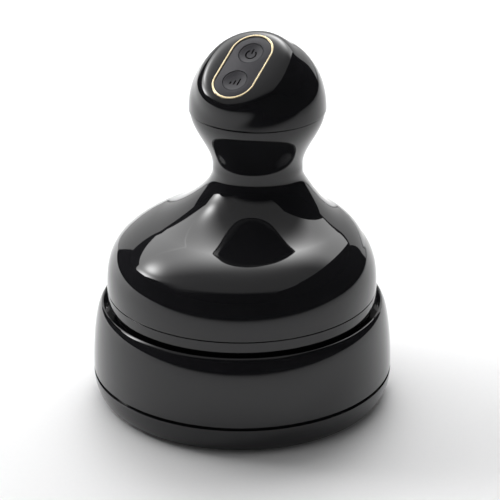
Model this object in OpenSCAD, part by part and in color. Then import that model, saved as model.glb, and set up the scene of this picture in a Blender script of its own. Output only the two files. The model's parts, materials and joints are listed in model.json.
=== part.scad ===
// Handheld scalp massager, standing on its charging dock with its four massage heads in the dock's cup.
// The front is -Y, the neck leans to the rear (+Y), and up is +Z.
// The origin is the middle of the dock's footprint, at the table.

/* [Massage heads] */
// Diameter of one silicone finger pad
pad_d = 32; // [30:0.2:34]
// Height of the pad's rim round its carrier
pad_rim_h = 5; // [4.6:0.2:6]
// Thickness of the pad under its carrier
pad_floor_t = 2; // [1.6:0.2:2.6]
// Length of a finger below the pad
finger_l = 14.3; // [11:0.1:15]
// Diameter of a finger where it leaves the pad
finger_root_d = 6.4; // [5.4:0.2:7]
// Diameter of a finger's round tip
finger_tip_d = 4.4; // [3.6:0.2:5]
// Radius of the circle that the outer fingers stand on
finger_ring_r = 10.8; // [9.8:0.2:11.4]
// Number of outer fingers on a pad
finger_count = 6; // [4:1:7]
// Thickness of the hard disc inside the pad
carrier_t = 3; // [2.6:0.2:3.6]
// Diameter of a head's shaft
head_shaft_d = 5; // [4:0.2:6]
// Running gap between a pad and the body above it
head_gap = 1.5; // [1:0.1:2.5]

/* [Dock] */
// Gap between the pads and the wall of the cup
cup_gap = 2; // [1.2:0.1:3]
// Gap between the finger tips and the floor of the cup
cup_floor_gap = 2; // [1.5:0.5:6]
// Width of the ledge that the massager's foot ring stands on
seat_w = 4; // [3.8:0.1:6]
// Depth of the recess that centres the massager
recess_h = 2.8; // [2:0.2:3.6]
// Radial gap round the massager's foot ring in that recess
recess_gap = 1.2; // [0.8:0.1:2]
// Radial step from the massager's skirt out to the dock's rim
rim_step = 1.65; // [1:0.05:3]
// Radial bulge of the dock's wall below its rim
dock_bulge = 4.35; // [3.5:0.05:7]
// Height of the dock's rim above its recess
rim_h = 2.3; // [1:0.1:3]
// Radial tuck of the dock's bottom edge under its widest line
foot_tuck = 5.9; // [4:0.1:6.4]
// Height of the parting groove above the table
groove_z = 12; // [11.6:0.1:13]
// Width of the parting groove
groove_h = 1.2; // [0.8:0.1:1.8]
// Thickness of the dock's walls and floors
dock_wall = 2.2; // [1.8:0.1:2.6]
// Diameter of a rubber foot
foot_d = 10; // [8:0.5:12]
// Thickness of a rubber foot
foot_t = 1.2; // [0.9:0.1:1.6]
// Height of the dock's underside above the table
underside_z = 0.6; // [0.3:0.1:0.8]
// Thickness of the soft seat ring on the ledge
seat_pad_t = 0.9; // [0.7:0.1:1.2]

/* [Body] */
// Height of the foot ring below the skirt
plinth_h = 4.9; // [4.3:0.1:6]
// Radial step from the foot ring out to the skirt
skirt_step = 3; // [2.6:0.1:4]
// Height of the skirt below the parting line
skirt_h = 4.7; // [4:0.1:6]
// Thickness of the body's walls
wall = 2.2; // [1.8:0.1:2.4]
// Thickness of the body's floor
floor_t = 2.4; // [2:0.1:3]
// Height of the dome's outline, if the neck did not cut it off
dome_h = 30.5; // [29.5:0.1:33]
// Squareness of the dome's outline, where 2 is an ellipse
dome_power = 2.9; // [2.6:0.05:3]
// Height above the parting line at which the shoulder starts to sweep up into the neck
shoulder_h = 26.3; // [25:0.1:27]
// Height above the parting line at which the neck is slimmest
neck_h = 46.2; // [45:0.1:48]
// Height above the parting line of the seam under the head's cap
head_seam_h = 70; // [69:0.5:74]
// Diameter of the neck
neck_d = 35.4; // [34.6:0.2:38]
// Distance of the neck and head behind the dome's axis
neck_back = 12.4; // [11.5:0.1:13.5]
// Diameter of the head's cap at its seam
head_d = 53.6; // [52.6:0.2:56]
// Radial step from the cap in to the body under it
cap_step = 0.5; // [0:0.1:0.8]
// Height of the cap's outline above the seam, if the panel did not flatten it
head_h = 29; // [28.4:0.1:31]
// Squareness of the cap's outline, where 2 is an ellipse
head_power = 2.1; // [1.9:0.05:2.3]
// Height of the lip inside the body's seam
lip_h = 3.4; // [3:0.1:4]
// Height of the lip inside the cap's seam
cap_lip_h = 2.2; // [1.6:0.1:2.6]
// Width of the visible seams
seam_gap = 0.2; // [0.1:0.05:0.3]

/* [Button panel] */
// Length of the panel over its trim
panel_l = 32.4; // [31.6:0.1:33]
// Width of the panel over its trim
panel_w = 17.7; // [17.2:0.1:18.4]
// Angle of the panel from level, facing the front
panel_tilt = 31; // [28:0.5:33]
// Distance of the panel's face from the middle of the head's seam
panel_dist = 23.25; // [22.9:0.05:23.8]
// Distance of the panel's middle up its slope from the point nearest to that middle
panel_shift = 1.1; // [0.5:0.1:1.5]
// Width of the flat margin round the trim
bezel_w = 0.6; // [0.3:0.1:1.2]
// Width of the round shoulder from that margin down to the ball
bezel_blend = 5.5; // [4:0.5:7]
// Width of the metal trim line
trim_w = 0.8; // [0.6:0.05:1]
// Depth of the metal trim
trim_t = 1.9; // [1.6:0.1:2.2]
// Thickness of the panel above its button pockets
panel_t = 1.8; // [1.5:0.1:2]
// Depth of the panel's rim
panel_rim_h = 3; // [2.8:0.1:3.2]
// Diameter of a button
button_d = 9.8; // [9:0.1:10.2]
// Distance between the two buttons
button_pitch = 14; // [13.4:0.1:14.4]
// Depth of the dish in a button's face
dish_h = 0.45; // [0.2:0.05:0.7]
// Travel of a button
button_travel = 0.4; // [0.2:0.05:0.5]
// Width of a button's retaining flange
button_flange = 0.8; // [0.6:0.05:0.9]

/* [Gear train] */
// Teeth of the sun gear that turns the four heads, a multiple of four
sun_teeth = 20; // [20:4:24]
// Teeth of each head gear
head_teeth = 36; // [34:1:38]
// Module of the head gears
head_module = 1; // [0.98:0.01:1.04]
// Thickness of the head gears
head_gear_t = 4; // [3:0.2:5]
// Teeth of the drive wheel above the sun gear
wheel_teeth = 60; // [54:2:62]
// Teeth of the compound gear's large wheel
compound_teeth = 50; // [46:2:54]
// Teeth of the two small pinions
pinion_teeth = 10; // [10:1:12]
// Module of the fast gears
fast_module = 0.5; // [0.46:0.01:0.52]
// Thickness of the drive wheel
wheel_t = 2.2; // [1.8:0.1:3]
// Thickness of the compound gear's large wheel
compound_t = 2; // [1.6:0.1:2.6]
// Diameter of the drive shaft
drive_shaft_d = 4; // [3:0.2:5]
// Diameter of the compound gear's pin
compound_pin_d = 1.6; // [1.2:0.1:2]
// Radius of the two gear plates
plate_r = 38; // [37:0.5:40]
// Thickness of a gear plate
plate_t = 1.5; // [1.2:0.1:2]
// Distance of the plate pillars in from the plates' edge
pillar_in = 3.5; // [3.4:0.1:5]
// Diameter of the motor's can
motor_d = 24.4; // [22:0.2:25]
// Length of the motor's can
motor_l = 15.5; // [13:0.5:16]
// Diameter of the motor's shaft
motor_shaft_d = 2; // [1.5:0.1:2.3]

/* [Battery and boards] */
// Diameter of the battery cell
battery_d = 18.4; // [17:0.1:18.8]
// Height of the battery cell's top above the seam under the head's cap
cell_rise = 7.6; // [4:0.1:8.6]
// Thickness of the battery holder's cradle and foot
holder_t = 1.4; // [1.2:0.1:1.8]
// Length of the cradle that holds the cell
cradle_l = 42; // [30:1:50]
// Width of the main board
main_board_w = 28; // [24:1:30]
// Height of the main board
main_board_h = 15; // [13:0.5:15.5]
// Thickness of every circuit board
board_t = 1.6; // [1:0.1:1.8]
// Width of the charging socket over its metal shell
socket_w = 8.94; // [8.5:0.02:9.2]
// Height of the charging socket over its metal shell
socket_h = 3.26; // [3:0.02:3.4]
// Length of the charging socket
socket_l = 7.35; // [6.5:0.05:8]
// Distance between the two charging contacts
contact_pitch = 9; // [8:0.2:11]
// Diameter of a spring contact's barrel
barrel_d = 2.6; // [2.4:0.1:2.9]
// Diameter of a spring contact's pin
pin_d = 1.5; // [1.3:0.1:1.6]
// Travel of a spring contact
pin_travel = 0.6; // [0.3:0.05:0.9]
// Diameter of a wire
wire_d = 1.2; // [1:0.1:1.3]

/* [Screws] */
// Thread diameter of every screw
screw_d = 2.5; // [2.2:0.1:2.6]
// Head diameter of every screw
screw_head_d = 4.6; // [4.2:0.1:4.8]
// Head height of every screw
screw_head_h = 1.6; // [1.2:0.1:1.8]
// Diameter of the posts and bosses that the screws hold
post_d = 6.2; // [6:0.1:6.6]

/* [Fits] */
// Radial clearance of shafts in their bushes and of screws in their pilot holes
run_fit = 0.03; // [0.01:0.01:0.06]
// Radial clearance of parts that drop into a pocket
drop_fit = 0.1; // [0.05:0.01:0.15]
// Axial gap beside a turning gear
gear_gap = 0.6; // [0.4:0.1:0.8]
// Thinning of each tooth flank at the pitch line, for backlash
flank_thin = 0.07; // [0.05:0.01:0.09]

/* [Hidden] */
$fn = 64;

// A cut goes this far past the face that it opens, and one with no floor goes this deep
over = 0.5;
through = 30;
// Sides of the lofted shells, and levels of their outlines
loft_sides = 48;
dome_steps = 8;
sweep_steps = 6;
flare_steps = 7;
cap_steps = 16;
arc_steps = 10;

// Radii, from the gears outwards
head_ring_r = head_module * (sun_teeth + head_teeth) / 2;
pad_r = pad_d / 2;
pad_wall = 0.7;
cup_r = head_ring_r + pad_r + cup_gap;
plinth_r = cup_r + seat_w;
recess_r = plinth_r + recess_gap;
body_r = plinth_r + skirt_step;
rim_r = body_r + rim_step;
// The collar's flange stands on a shoulder of the dock's shell
collar_r = recess_r - 1.1;
flange_t = 1.1;
dock_r = rim_r + dock_bulge;
dock_foot_r = dock_r - foot_tuck;
pillar_ring_r = plate_r - pillar_in;
neck_r = neck_d / 2;
head_r = head_d / 2;
// A lip clears the flats of the lofted wall round it
lip_gap = 0.35;
lip_t = 1.6;
lip_r = body_r - wall - lip_gap;
// Round seal in a groove of the body's lip
seal_t = 1.1;
seal_groove = 0.6;
seal_lift = 1.3;

// Heights of the dock, from the table up
groove_low = groove_z - groove_h / 2;
groove_high = groove_z + groove_h / 2;
groove_in = 1.2;
base_floor_z = underside_z + dock_wall;
cup_floor_z = groove_high + 0.6;
tip_z = cup_floor_z + cup_floor_gap;
pad_floor_z = tip_z + finger_l;
carrier_z = pad_floor_z + pad_floor_t;
plinth_z = carrier_z + carrier_t + head_gap;
seat_gap = 0.1;
ledge_z = plinth_z - seat_pad_t - seat_gap;
shoulder_low = ledge_z - flange_t - 1.5;
deck_low = cup_floor_z - dock_wall;
recess_z = ledge_z + recess_h;
dock_h = recess_z + rim_h;

// Heights of the massager's body
floor_top = plinth_z + floor_t;
skirt_z = plinth_z + plinth_h;
seam_z = skirt_z + skirt_h;
dome_top = seam_z + dome_h;
shoulder_z = seam_z + shoulder_h;
neck_z = seam_z + neck_h;
head_z = seam_z + head_seam_h;

// Heights of the gear train
bush_boss_h = 3.6;
bush_lift = 1.6;
bush_t = 1.5;
seal_w = 2.2;
seal_h = 1;
head_gear_z = floor_top + bush_boss_h + gear_gap;
lower_plate_z = head_gear_z + head_gear_t + gear_gap;
wheel_z = lower_plate_z + plate_t + gear_gap;
compound_z = wheel_z + wheel_t + gear_gap;
upper_plate_z = compound_z + compound_t + gear_gap;
deck_z = upper_plate_z + plate_t;

// Places of the battery and the motor
battery_r = battery_d / 2;
motor_r = motor_d / 2;
holder_foot_t = 2;
battery_z = deck_z + holder_foot_t;
battery_l = head_z + cell_rise - battery_z;
motor_socket_t = 1.2;
motor_socket_h = 4;
motor_y = neck_back - battery_r - motor_socket_t - 0.3 - motor_r - drop_fit;
motor_nose_r = 3.1;

// Places of the gears: the compound gear sits where both its meshes keep their centre distances
wheel_centre = fast_module * (wheel_teeth + pinion_teeth) / 2;
motor_centre = fast_module * (compound_teeth + pinion_teeth) / 2;
compound_angle = -90 + acos((pow(wheel_centre, 2) + pow(motor_y, 2) - pow(motor_centre, 2))
                            / (2 * wheel_centre * abs(motor_y)));
compound_x = wheel_centre * cos(compound_angle);
compound_y = wheel_centre * sin(compound_angle);
to_motor_angle = atan2(motor_y - compound_y, -compound_x);

// Teeth: a wide pressure angle and short tips let a small pinion run free
pressure_angle = 25;
tip_height = 0.8;
root_depth = 1.1;

// Button panel: its middle lies off the head's axis, square to its tilt
panel_y = neck_back - panel_dist * sin(panel_tilt) + panel_shift * cos(panel_tilt);
panel_z = head_z + panel_dist * cos(panel_tilt) + panel_shift * sin(panel_tilt);
panel_flatness = 7.4;
panel_top = -0.2;
pocket_z = panel_top - panel_t;
rim_z = panel_top - panel_rim_h;
flange_h = 1;
flange_gap = 0.3;
stem_r = 1.5;
stem_h = 1.1;
stem_z = pocket_z - flange_gap - flange_h - stem_h;
plunger_z = stem_z - button_travel - 0.05;
plunger_h = 0.4;
switch_h = 1.1;
switch_board_z = plunger_z - plunger_h - switch_h;
panel_post_x = 5.9;
panel_post_r = 1.1;
// Radial clearance of the trim in the cap and round the panel
trim_fit = 0.05;
// Tabs on the panel's rim that reach behind the cap
tab_l = 9;
tab_w = 2.4;
tab_t = 0.8;

// Charging contacts stand in the collar, at the rear
contact_r = plinth_r - 2.2;
contact_y = sqrt(pow(contact_r, 2) - pow(contact_pitch / 2, 2));
contact_pad_r = 1.3;
contact_t = 0.8;
// The leads from the contacts step in by this, and pass the upper plate in a notch each
lead_step = 10.7;
lead_y = contact_y - lead_step;
notch_w = wire_d + 1;
barrel_h = 10.6;
barrel_z = ledge_z - 0.4 - barrel_h;
pin_shoulder_z = ledge_z - 0.1;
pin_tip_z = plinth_z - 0.05;
pin_tip_r = 0.6;

// Dock board, its posts and the socket on it
dock_board_z = base_floor_z + 0.8;
dock_board_top = dock_board_z + board_t;
dock_board_w = 28;
dock_board_l = 20;
dock_board_y = dock_foot_r - 3 - dock_board_l;
board_post_r = 2;
board_post_in = 4;
board_tongue_w = 11;
board_tongue_l = 1.7;
socket_z = dock_board_top + socket_h / 2;
socket_mouth_y = dock_r - 1.4;
socket_t = 0.3;
socket_pass = 0.2;
tongue_w = 6.6;
tongue_t = 0.7;
// The opening for the socket starts this far inside the dock's widest line
inlet_cut = 8;
// Lip of the base inside the dock's wall
base_lip_gap = 0.15;
base_lip_h = 2;

// Screws: four in the dock, four in the body's floor, four in the gear plates
screw_turns = [0, 90, 180, 270];
dock_screw_r = (cup_r + collar_r) / 2;
// The dock's posts are slimmer than the body's, to stay inside its round side
dock_post_d = post_d - 0.4;
dock_screw_seat = base_floor_z + 0.6;
dock_screw_l = 16;
dock_screw_tip = dock_screw_seat + dock_screw_l;
shell_screw_r = plinth_r - 6;
shell_screw_l = 13;
shell_post_top = floor_top + 5;
shell_screw_seat = plinth_z + 2.6;
shell_screw_tip = shell_screw_seat + shell_screw_l;
shell_boss_top = shoulder_z - 12;
plate_screw_tip = lower_plate_z - 5;
foot_ring_r = dock_foot_r - foot_d / 2 - 4;

// Radial clearance round a screw in a part that it only passes through
screw_pass = 0.2;
// Radial clearance of a large gear plate round the shell's posts
plate_pass = 0.8;
// Turns that the four heads stand at; the screws of the dock stand at the same turns
first_head = 45;
function head_turn(k) = first_head + 90 * (k - 1);

// ---- Outlines and helpers ----

// A value that eases from 0 to 1
function ease(u) = let (c = min(max(u, 0), 1)) c * c * (3 - 2 * c);

// Quarter ellipse from [r + w, z] up to [r, z + h], as points [radius, height]
function quarter(r, w, z, h) =
  [for (i = [0:arc_steps]) let (a = 90 * i / arc_steps) [r + w * cos(a), z + h * sin(a)]];

// Outline of the dome at a height, before the shoulder
function dome_r(z) = body_r * pow(1 - pow(max(z - seam_z, 0) / dome_h, dome_power), 1 / dome_power);

// Slope of the dome's radius over its height at the shoulder
shoulder_slope = (dome_r(shoulder_z + 0.1) - dome_r(shoulder_z - 0.1)) / 0.2;
shoulder_pull = 11.75;
neck_pull = 5;
neck_straight = 2.6;

// Cubic curve from the shoulder to the neck, which leaves the dome along its slope and meets the neck upright
function sweep_point(t) =
  let (n = norm([shoulder_slope, 1]),
       a = [dome_r(shoulder_z), shoulder_z],
       b = a + shoulder_pull * [shoulder_slope, 1] / n,
       d = [neck_r, neck_z - neck_straight / 2],
       c = d - [0, neck_pull])
  pow(1 - t, 3) * a + 3 * pow(1 - t, 2) * t * b + 3 * (1 - t) * t * t * c + pow(t, 3) * d;

// Radius of the neck as it flares out to the head's seam
flare_z = neck_z + neck_straight / 2;
function flare_r(z) = neck_r + (head_r - cap_step - neck_r) * ease((z - flare_z) / (head_z - flare_z));

// Outline of the body from the parting line to the head's seam, as points [radius, height]
body_low = seam_z + seam_gap / 2;
body_high = head_z - seam_gap / 2;
body_outline = concat(
  [for (i = [0:dome_steps - 1])
    let (z = body_low + (shoulder_z - body_low) * sin(90 * i / dome_steps)) [dome_r(z), z]],
  [for (i = [0:sweep_steps]) sweep_point(i / sweep_steps)],
  [for (i = [0:flare_steps]) let (z = flare_z + (body_high - flare_z) * i / flare_steps) [flare_r(z), z]]
);

// Direction square to a list of flat points at point i, to the left of the way they run
function square_to(p, i) =
  let (along = p[min(i + 1, len(p) - 1)] - p[max(i - 1, 0)]) [-along[1], along[0]] / norm(along);

// The same outline moved inwards by the wall, square to it; its two ends stay level
function inward(p, i) = p[i] + (i == 0 || i == len(p) - 1 ? [-wall, 0] : wall * square_to(p, i));
body_inline = [for (i = [0:len(body_outline) - 1]) inward(body_outline, i)];

// Distance of a cross-section's middle behind the dome's axis
lean_low = 18.6;
lean_high = neck_h - 6.4;
lean_power = 0.67;
function lean(z) = neck_back * pow(ease((z - seam_z - lean_low) / (lean_high - lean_low)), lean_power);

// Radius of the cap in a direction given by its turn and its climb: a ball flattened softly towards
// the panel, which rises over a round shoulder to a flat margin round the trim
function cap_r(turn, climb) =
  let (ball_sum = pow(cos(climb) / head_r, head_power) + pow(sin(climb) / head_h, head_power),
       ball = pow(ball_sum, -1 / head_power),
       facing = -sin(panel_tilt) * cos(climb) * sin(turn) + cos(panel_tilt) * sin(climb),
       flat = panel_dist / max(facing, 0.1),
       soft = pow(pow(ball, -panel_flatness) + pow(flat, -panel_flatness), -1 / panel_flatness),
       across = flat * cos(climb) * cos(turn),
       along = flat * (cos(panel_tilt) * cos(climb) * sin(turn) + sin(panel_tilt) * sin(climb)) - panel_shift,
       outside = norm([across, max(abs(along) - (panel_l - panel_w) / 2, 0)]) - panel_w / 2)
  soft + (flat - soft) * (1 - ease((outside - bezel_w) / bezel_blend));

// Point of the cap, sunk by a depth along its own ray
function cap_point(turn, climb, depth) =
  let (r = cap_r(turn, climb) - depth)
  r * [cos(climb) * cos(turn), cos(climb) * sin(turn), sin(climb)];

// Closed solid through a ring of rings, each [radius, distance back, height]; the last joins the first
module closed_loft(rings) {
  n = len(rings);
  s = loft_sides;
  polyhedron(
    points = [for (g = rings, j = [0:s - 1])
      let (a = 360 * j / s) [g[0] * cos(a), g[1] + g[0] * sin(a), g[2]]],
    faces = [for (i = [0:n - 1], j = [0:s - 1], half = [0, 1])
      let (k = (j + 1) % s, next = ((i + 1) % n) * s,
           p = i * s + j, q = i * s + k, u = next + j, v = next + k)
      half == 0 ? [p, u, q] : [q, u, v]],
    convexity = 6
  );
}

// Hollow dome from the function cap_point, open below, with a wall of the body's thickness
module hollow_cap() {
  s = loft_sides;
  m = cap_steps;
  rings = [for (depth = [0, wall], i = [0:m - 1], j = [0:s - 1]) cap_point(360 * j / s, 90 * i / m, depth)];
  poles = [for (depth = [0, wall]) cap_point(0, 90, depth)];
  top = 2 * m * s;
  polyhedron(
    points = concat(rings, poles),
    faces = concat(
      [for (i = [0:m - 2], j = [0:s - 1], half = [0, 1])
        let (p = i * s + j, q = i * s + (j + 1) % s)
        half == 0 ? [p, p + s, q] : [q, p + s, q + s]],
      [for (i = [0:m - 2], j = [0:s - 1], half = [0, 1])
        let (p = (m + i) * s + j, q = (m + i) * s + (j + 1) % s)
        half == 0 ? [p, q, p + s] : [q, q + s, p + s]],
      [for (j = [0:s - 1]) [(m - 1) * s + j, top, (m - 1) * s + (j + 1) % s]],
      [for (j = [0:s - 1]) [(2 * m - 1) * s + j, (2 * m - 1) * s + (j + 1) % s, top + 1]],
      [for (j = [0:s - 1], half = [0, 1])
        let (p = j, q = (j + 1) % s, u = m * s + j, v = m * s + (j + 1) % s)
        half == 0 ? [p, q, u] : [q, v, u]]
    ),
    convexity = 6
  );
}

// Outline with straight sides and round ends, its length along Y
module stadium(l, w) {
  square([w, l - w], center = true);
  for (side = [-1, 1]) translate([0, side * (l - w) / 2]) circle(d = w);
}

// Ring with a square section
module ring(r_out, r_in, h) {
  rotate_extrude() translate([r_in, 0]) square([r_out - r_in, h]);
}

// Upright tube
module tube(r_out, r_in, h) {
  difference() {
    cylinder(r = r_out, h = h);
    translate([0, 0, -over]) cylinder(r = r_in, h = h + 2 * over);
  }
}

// Copies at four turns round the middle, a distance out
module four_round(r, first) {
  for (turn = screw_turns) rotate([0, 0, first + turn]) translate([r, 0, 0]) children();
}

// Pan head screw whose head stands under z = seat, with the thread going up from there
module screw_up(seat, tip) {
  translate([0, 0, seat - screw_head_h]) cylinder(d = screw_head_d, h = screw_head_h);
  translate([0, 0, seat]) cylinder(d = screw_d, h = tip - seat);
}

// Points of a flat route with its corners rounded off
function rounded(p, cut) = concat([p[0]],
  [for (i = [1:len(p) - 2])
    let (back = p[i - 1] - p[i], on = p[i + 1] - p[i],
         a = p[i] + cut * back / norm(back), b = p[i] + cut * on / norm(on))
    each [a, (a + 2 * p[i] + b) / 4, b]],
  [p[len(p) - 1]]);

// Wire along a route in the plane X = x, whose points are [y, z]
module wire(x, route) {
  s = 8;
  p = rounded(route, 1.5 * wire_d);
  last = len(p) - 1;
  polyhedron(
    points = [for (i = [0:last], j = [0:s - 1])
      let (across = wire_d / 2 * cos(360 * j / s), up = wire_d / 2 * sin(360 * j / s) * square_to(p, i))
      [x + across, p[i][0] + up[0], p[i][1] + up[1]]],
    faces = concat(
      [[for (j = [s - 1:-1:0]) j], [for (j = [0:s - 1]) last * s + j]],
      [for (i = [0:last - 1], j = [0:s - 1])
        let (k = (j + 1) % s, p = i * s) [p + j, p + k, p + s + k, p + s + j]]
    )
  );
}

// Half the angle that a tooth takes up at radius r: an involute, thinned for backlash
function involute(a) = tan(a) * 180 / PI - a;
function tooth_half(r, teeth, m) =
  let (pitch_r = m * teeth / 2, base_r = pitch_r * cos(pressure_angle))
  90 / teeth + involute(pressure_angle) - involute(acos(min(1, base_r / r)))
  - flank_thin / pitch_r * 180 / PI;

// Flank of a tooth from its root to its tip, as points [radius, half angle]
function flank(teeth, m) =
  let (pitch_r = m * teeth / 2,
       base_r = pitch_r * cos(pressure_angle),
       root_r = pitch_r - root_depth * m,
       tip_r = pitch_r + tip_height * m,
       start = root_r < base_r ? [root_r, base_r] : [root_r])
  [for (r = concat(start, [pitch_r, tip_r])) [r, tooth_half(max(r, base_r), teeth, m)]];

// Gear outline with one tooth on +X
module gear_outline(teeth, m) {
  side = flank(teeth, m);
  n = len(side);
  polygon([for (t = [0:teeth - 1], i = [0:2 * n - 1])
    let (p = i < n ? side[i] : side[2 * n - 1 - i], a = 360 * t / teeth + (i < n ? -1 : 1) * p[1])
    p[0] * [cos(a), sin(a)]]);
}

// Spur gear with a bore
module gear(teeth, m, t, bore_r) {
  difference() {
    linear_extrude(t) gear_outline(teeth, m);
    translate([0, 0, -over]) cylinder(r = bore_r, h = t + 2 * over);
  }
}

// Places children on the panel: its face is z = 0 and its upper end is +Y
module on_panel() {
  translate([0, panel_y, panel_z]) rotate([panel_tilt, 0, 0]) children();
}

// ---- Dock ----

// Rubber feet, pressed into pockets under the base
module dock_feet() {
  color("#26262a") four_round(foot_ring_r, 0) cylinder(d = foot_d, h = foot_t);
}

// Lower half of the dock: floor, round side, and a lip inside the shell with a land that the shell stands on
module dock_base() {
  lip_out = dock_r - dock_wall - base_lip_gap;
  color("#1c1c1f") difference() {
    union() {
      rotate_extrude() polygon(concat(
        [[0, base_floor_z], [dock_foot_r - 1, base_floor_z], [lip_out - lip_t, groove_low - dock_wall],
         [lip_out - lip_t, groove_high + base_lip_h], [lip_out, groove_high + base_lip_h],
         [lip_out, groove_high], [dock_r - groove_in, groove_high], [dock_r - groove_in, groove_low]],
        quarter(dock_foot_r, foot_tuck, groove_low, underside_z - groove_low),
        [[0, underside_z]]
      ));
      four_round(dock_screw_r, first_head) translate([0, 0, underside_z + 1])
        cylinder(d = dock_post_d, h = deck_low - underside_z - 1);
      for (side = [-1, 1], y = [board_post_in, dock_board_l - board_post_in])
        translate([side * (dock_board_w / 2 - board_post_in), dock_board_y + y, base_floor_z - over])
          cylinder(r = board_post_r, h = dock_board_z - base_floor_z + over);
    }
    four_round(dock_screw_r, first_head) translate([0, 0, -over]) {
      cylinder(r = screw_d / 2 + screw_pass, h = through);
      cylinder(r = screw_head_d / 2 + screw_pass, h = dock_screw_seat + over);
    }
    four_round(foot_ring_r, 0) cylinder(r = foot_d / 2 + drop_fit, h = foot_t);
    translate([0, dock_r - inlet_cut, socket_z]) rotate([-90, 0, 0]) linear_extrude(through)
      rotate(90) stadium(socket_w + 2 * socket_pass, socket_h + 2 * socket_pass);
  }
}

// Round plate on the base's posts: it covers the circuit and is the floor of the cup
module dock_deck() {
  color("#18181a") difference() {
    translate([0, 0, deck_low]) cylinder(r = collar_r, h = dock_wall);
    translate([0, 0, deck_low - over]) {
      four_round(dock_screw_r, first_head) cylinder(r = screw_d / 2 + screw_pass, h = dock_wall + 2 * over);
      for (side = [-1, 1]) translate([side * contact_pitch / 2, contact_y, 0])
        cylinder(r = wire_d / 2 + drop_fit, h = dock_wall + 2 * over);
    }
  }
}

// Thick ring on the deck: wall of the cup, ledge for the massager, and a flange that holds the shell down
module dock_collar() {
  flange_r = recess_r - drop_fit;
  color("#131315") difference() {
    rotate_extrude() polygon([
      [cup_r, cup_floor_z], [collar_r, cup_floor_z], [collar_r, ledge_z - flange_t],
      [flange_r, ledge_z - flange_t], [flange_r, ledge_z], [cup_r, ledge_z]
    ]);
    four_round(dock_screw_r, first_head) translate([0, 0, cup_floor_z - over])
      cylinder(r = screw_d / 2 + run_fit, h = dock_screw_tip + 1 - cup_floor_z + over);
    for (side = [-1, 1]) translate([side * contact_pitch / 2, contact_y, 0]) {
      translate([0, 0, barrel_z]) cylinder(r = barrel_d / 2 + run_fit, h = through);
      cylinder(r = wire_d / 2 + drop_fit, h = ledge_z);
    }
  }
}

// Upper half of the dock: round wall, sloping rim, recess, and the shoulder under the collar's flange
module dock_shell() {
  wall_h = dock_h - groove_high;
  shoulder_r = collar_r + drop_fit;
  color("#151517") rotate_extrude() polygon(concat(
    quarter(rim_r, dock_bulge, groove_high, wall_h),
    [[recess_r, recess_z], [recess_r, ledge_z - flange_t], [shoulder_r, ledge_z - flange_t],
     [shoulder_r, shoulder_low], [dock_r - dock_wall, groove_high + wall_h / 2], [dock_r - dock_wall, groove_high]]
  ));
}

// Soft ring on the ledge, with a hole for each spring contact
module dock_seat_pad() {
  color("#3a3a3e") difference() {
    translate([0, 0, ledge_z]) ring(recess_r - 0.4, cup_r + 0.4, seat_pad_t);
    for (side = [-1, 1]) translate([side * contact_pitch / 2, contact_y, ledge_z - over])
      cylinder(r = pin_d / 2 + 0.15, h = through);
  }
}

// Charging circuit, on four short posts of the base, with a tongue under the socket
module dock_board() {
  color("#1f5a36") {
    translate([-dock_board_w / 2, dock_board_y, dock_board_z]) cube([dock_board_w, dock_board_l, board_t]);
    translate([-board_tongue_w / 2, dock_board_y, dock_board_z])
      cube([board_tongue_w, dock_board_l + board_tongue_l, board_t]);
  }
  color("#202022") {
    translate([-9, dock_board_y + 4, dock_board_top]) cube([6, 5, 1.2]);
    translate([3, dock_board_y + 3, dock_board_top]) cube([5, 5, 2.4]);
  }
}

// Charging socket: a metal shell with a tongue, its mouth in the rear wall
module usb_inlet() {
  color("#b9bbbe") translate([0, socket_mouth_y, socket_z]) rotate([90, 0, 0]) {
    difference() {
      linear_extrude(socket_l) rotate(90) stadium(socket_w, socket_h);
      translate([0, 0, -over]) linear_extrude(socket_l - 1 + over)
        rotate(90) stadium(socket_w - 2 * socket_t, socket_h - 2 * socket_t);
    }
    translate([-tongue_w / 2, -tongue_t / 2, 0.9]) cube([tongue_w, tongue_t, socket_l - 1]);
  }
}

// Metal barrels of the two spring contacts, pressed into the collar
module dock_contact_barrels() {
  color("#c9a85a") for (side = [-1, 1]) translate([side * contact_pitch / 2, contact_y, barrel_z])
    difference() {
      cylinder(d = barrel_d, h = barrel_h);
      translate([0, 0, 1]) cylinder(r = pin_d / 2 + run_fit, h = barrel_h);
    }
}

// Sprung pin of a charging contact
module dock_contact_pin(side) {
  color("#d9bb6a") translate([side * contact_pitch / 2, contact_y, 0]) {
    translate([0, 0, barrel_z + 1 + pin_travel + 0.4])
      cylinder(d = pin_d, h = pin_shoulder_z - barrel_z - 1.4 - pin_travel);
    translate([0, 0, pin_shoulder_z])
      cylinder(r1 = pin_d / 2, r2 = pin_tip_r, h = pin_tip_z - pin_shoulder_z);
  }
}

// Wires from the barrels down to the charging circuit
module dock_leads() {
  color("#a33028") for (side = [-1, 1]) translate([side * contact_pitch / 2, contact_y, dock_board_top])
    cylinder(d = wire_d, h = barrel_z - dock_board_top);
}

// Four screws through the base and the deck into the collar
module dock_screws() {
  color("#8d9094") four_round(dock_screw_r, first_head) screw_up(dock_screw_seat, dock_screw_tip);
}

// ---- Massager's body ----

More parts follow.
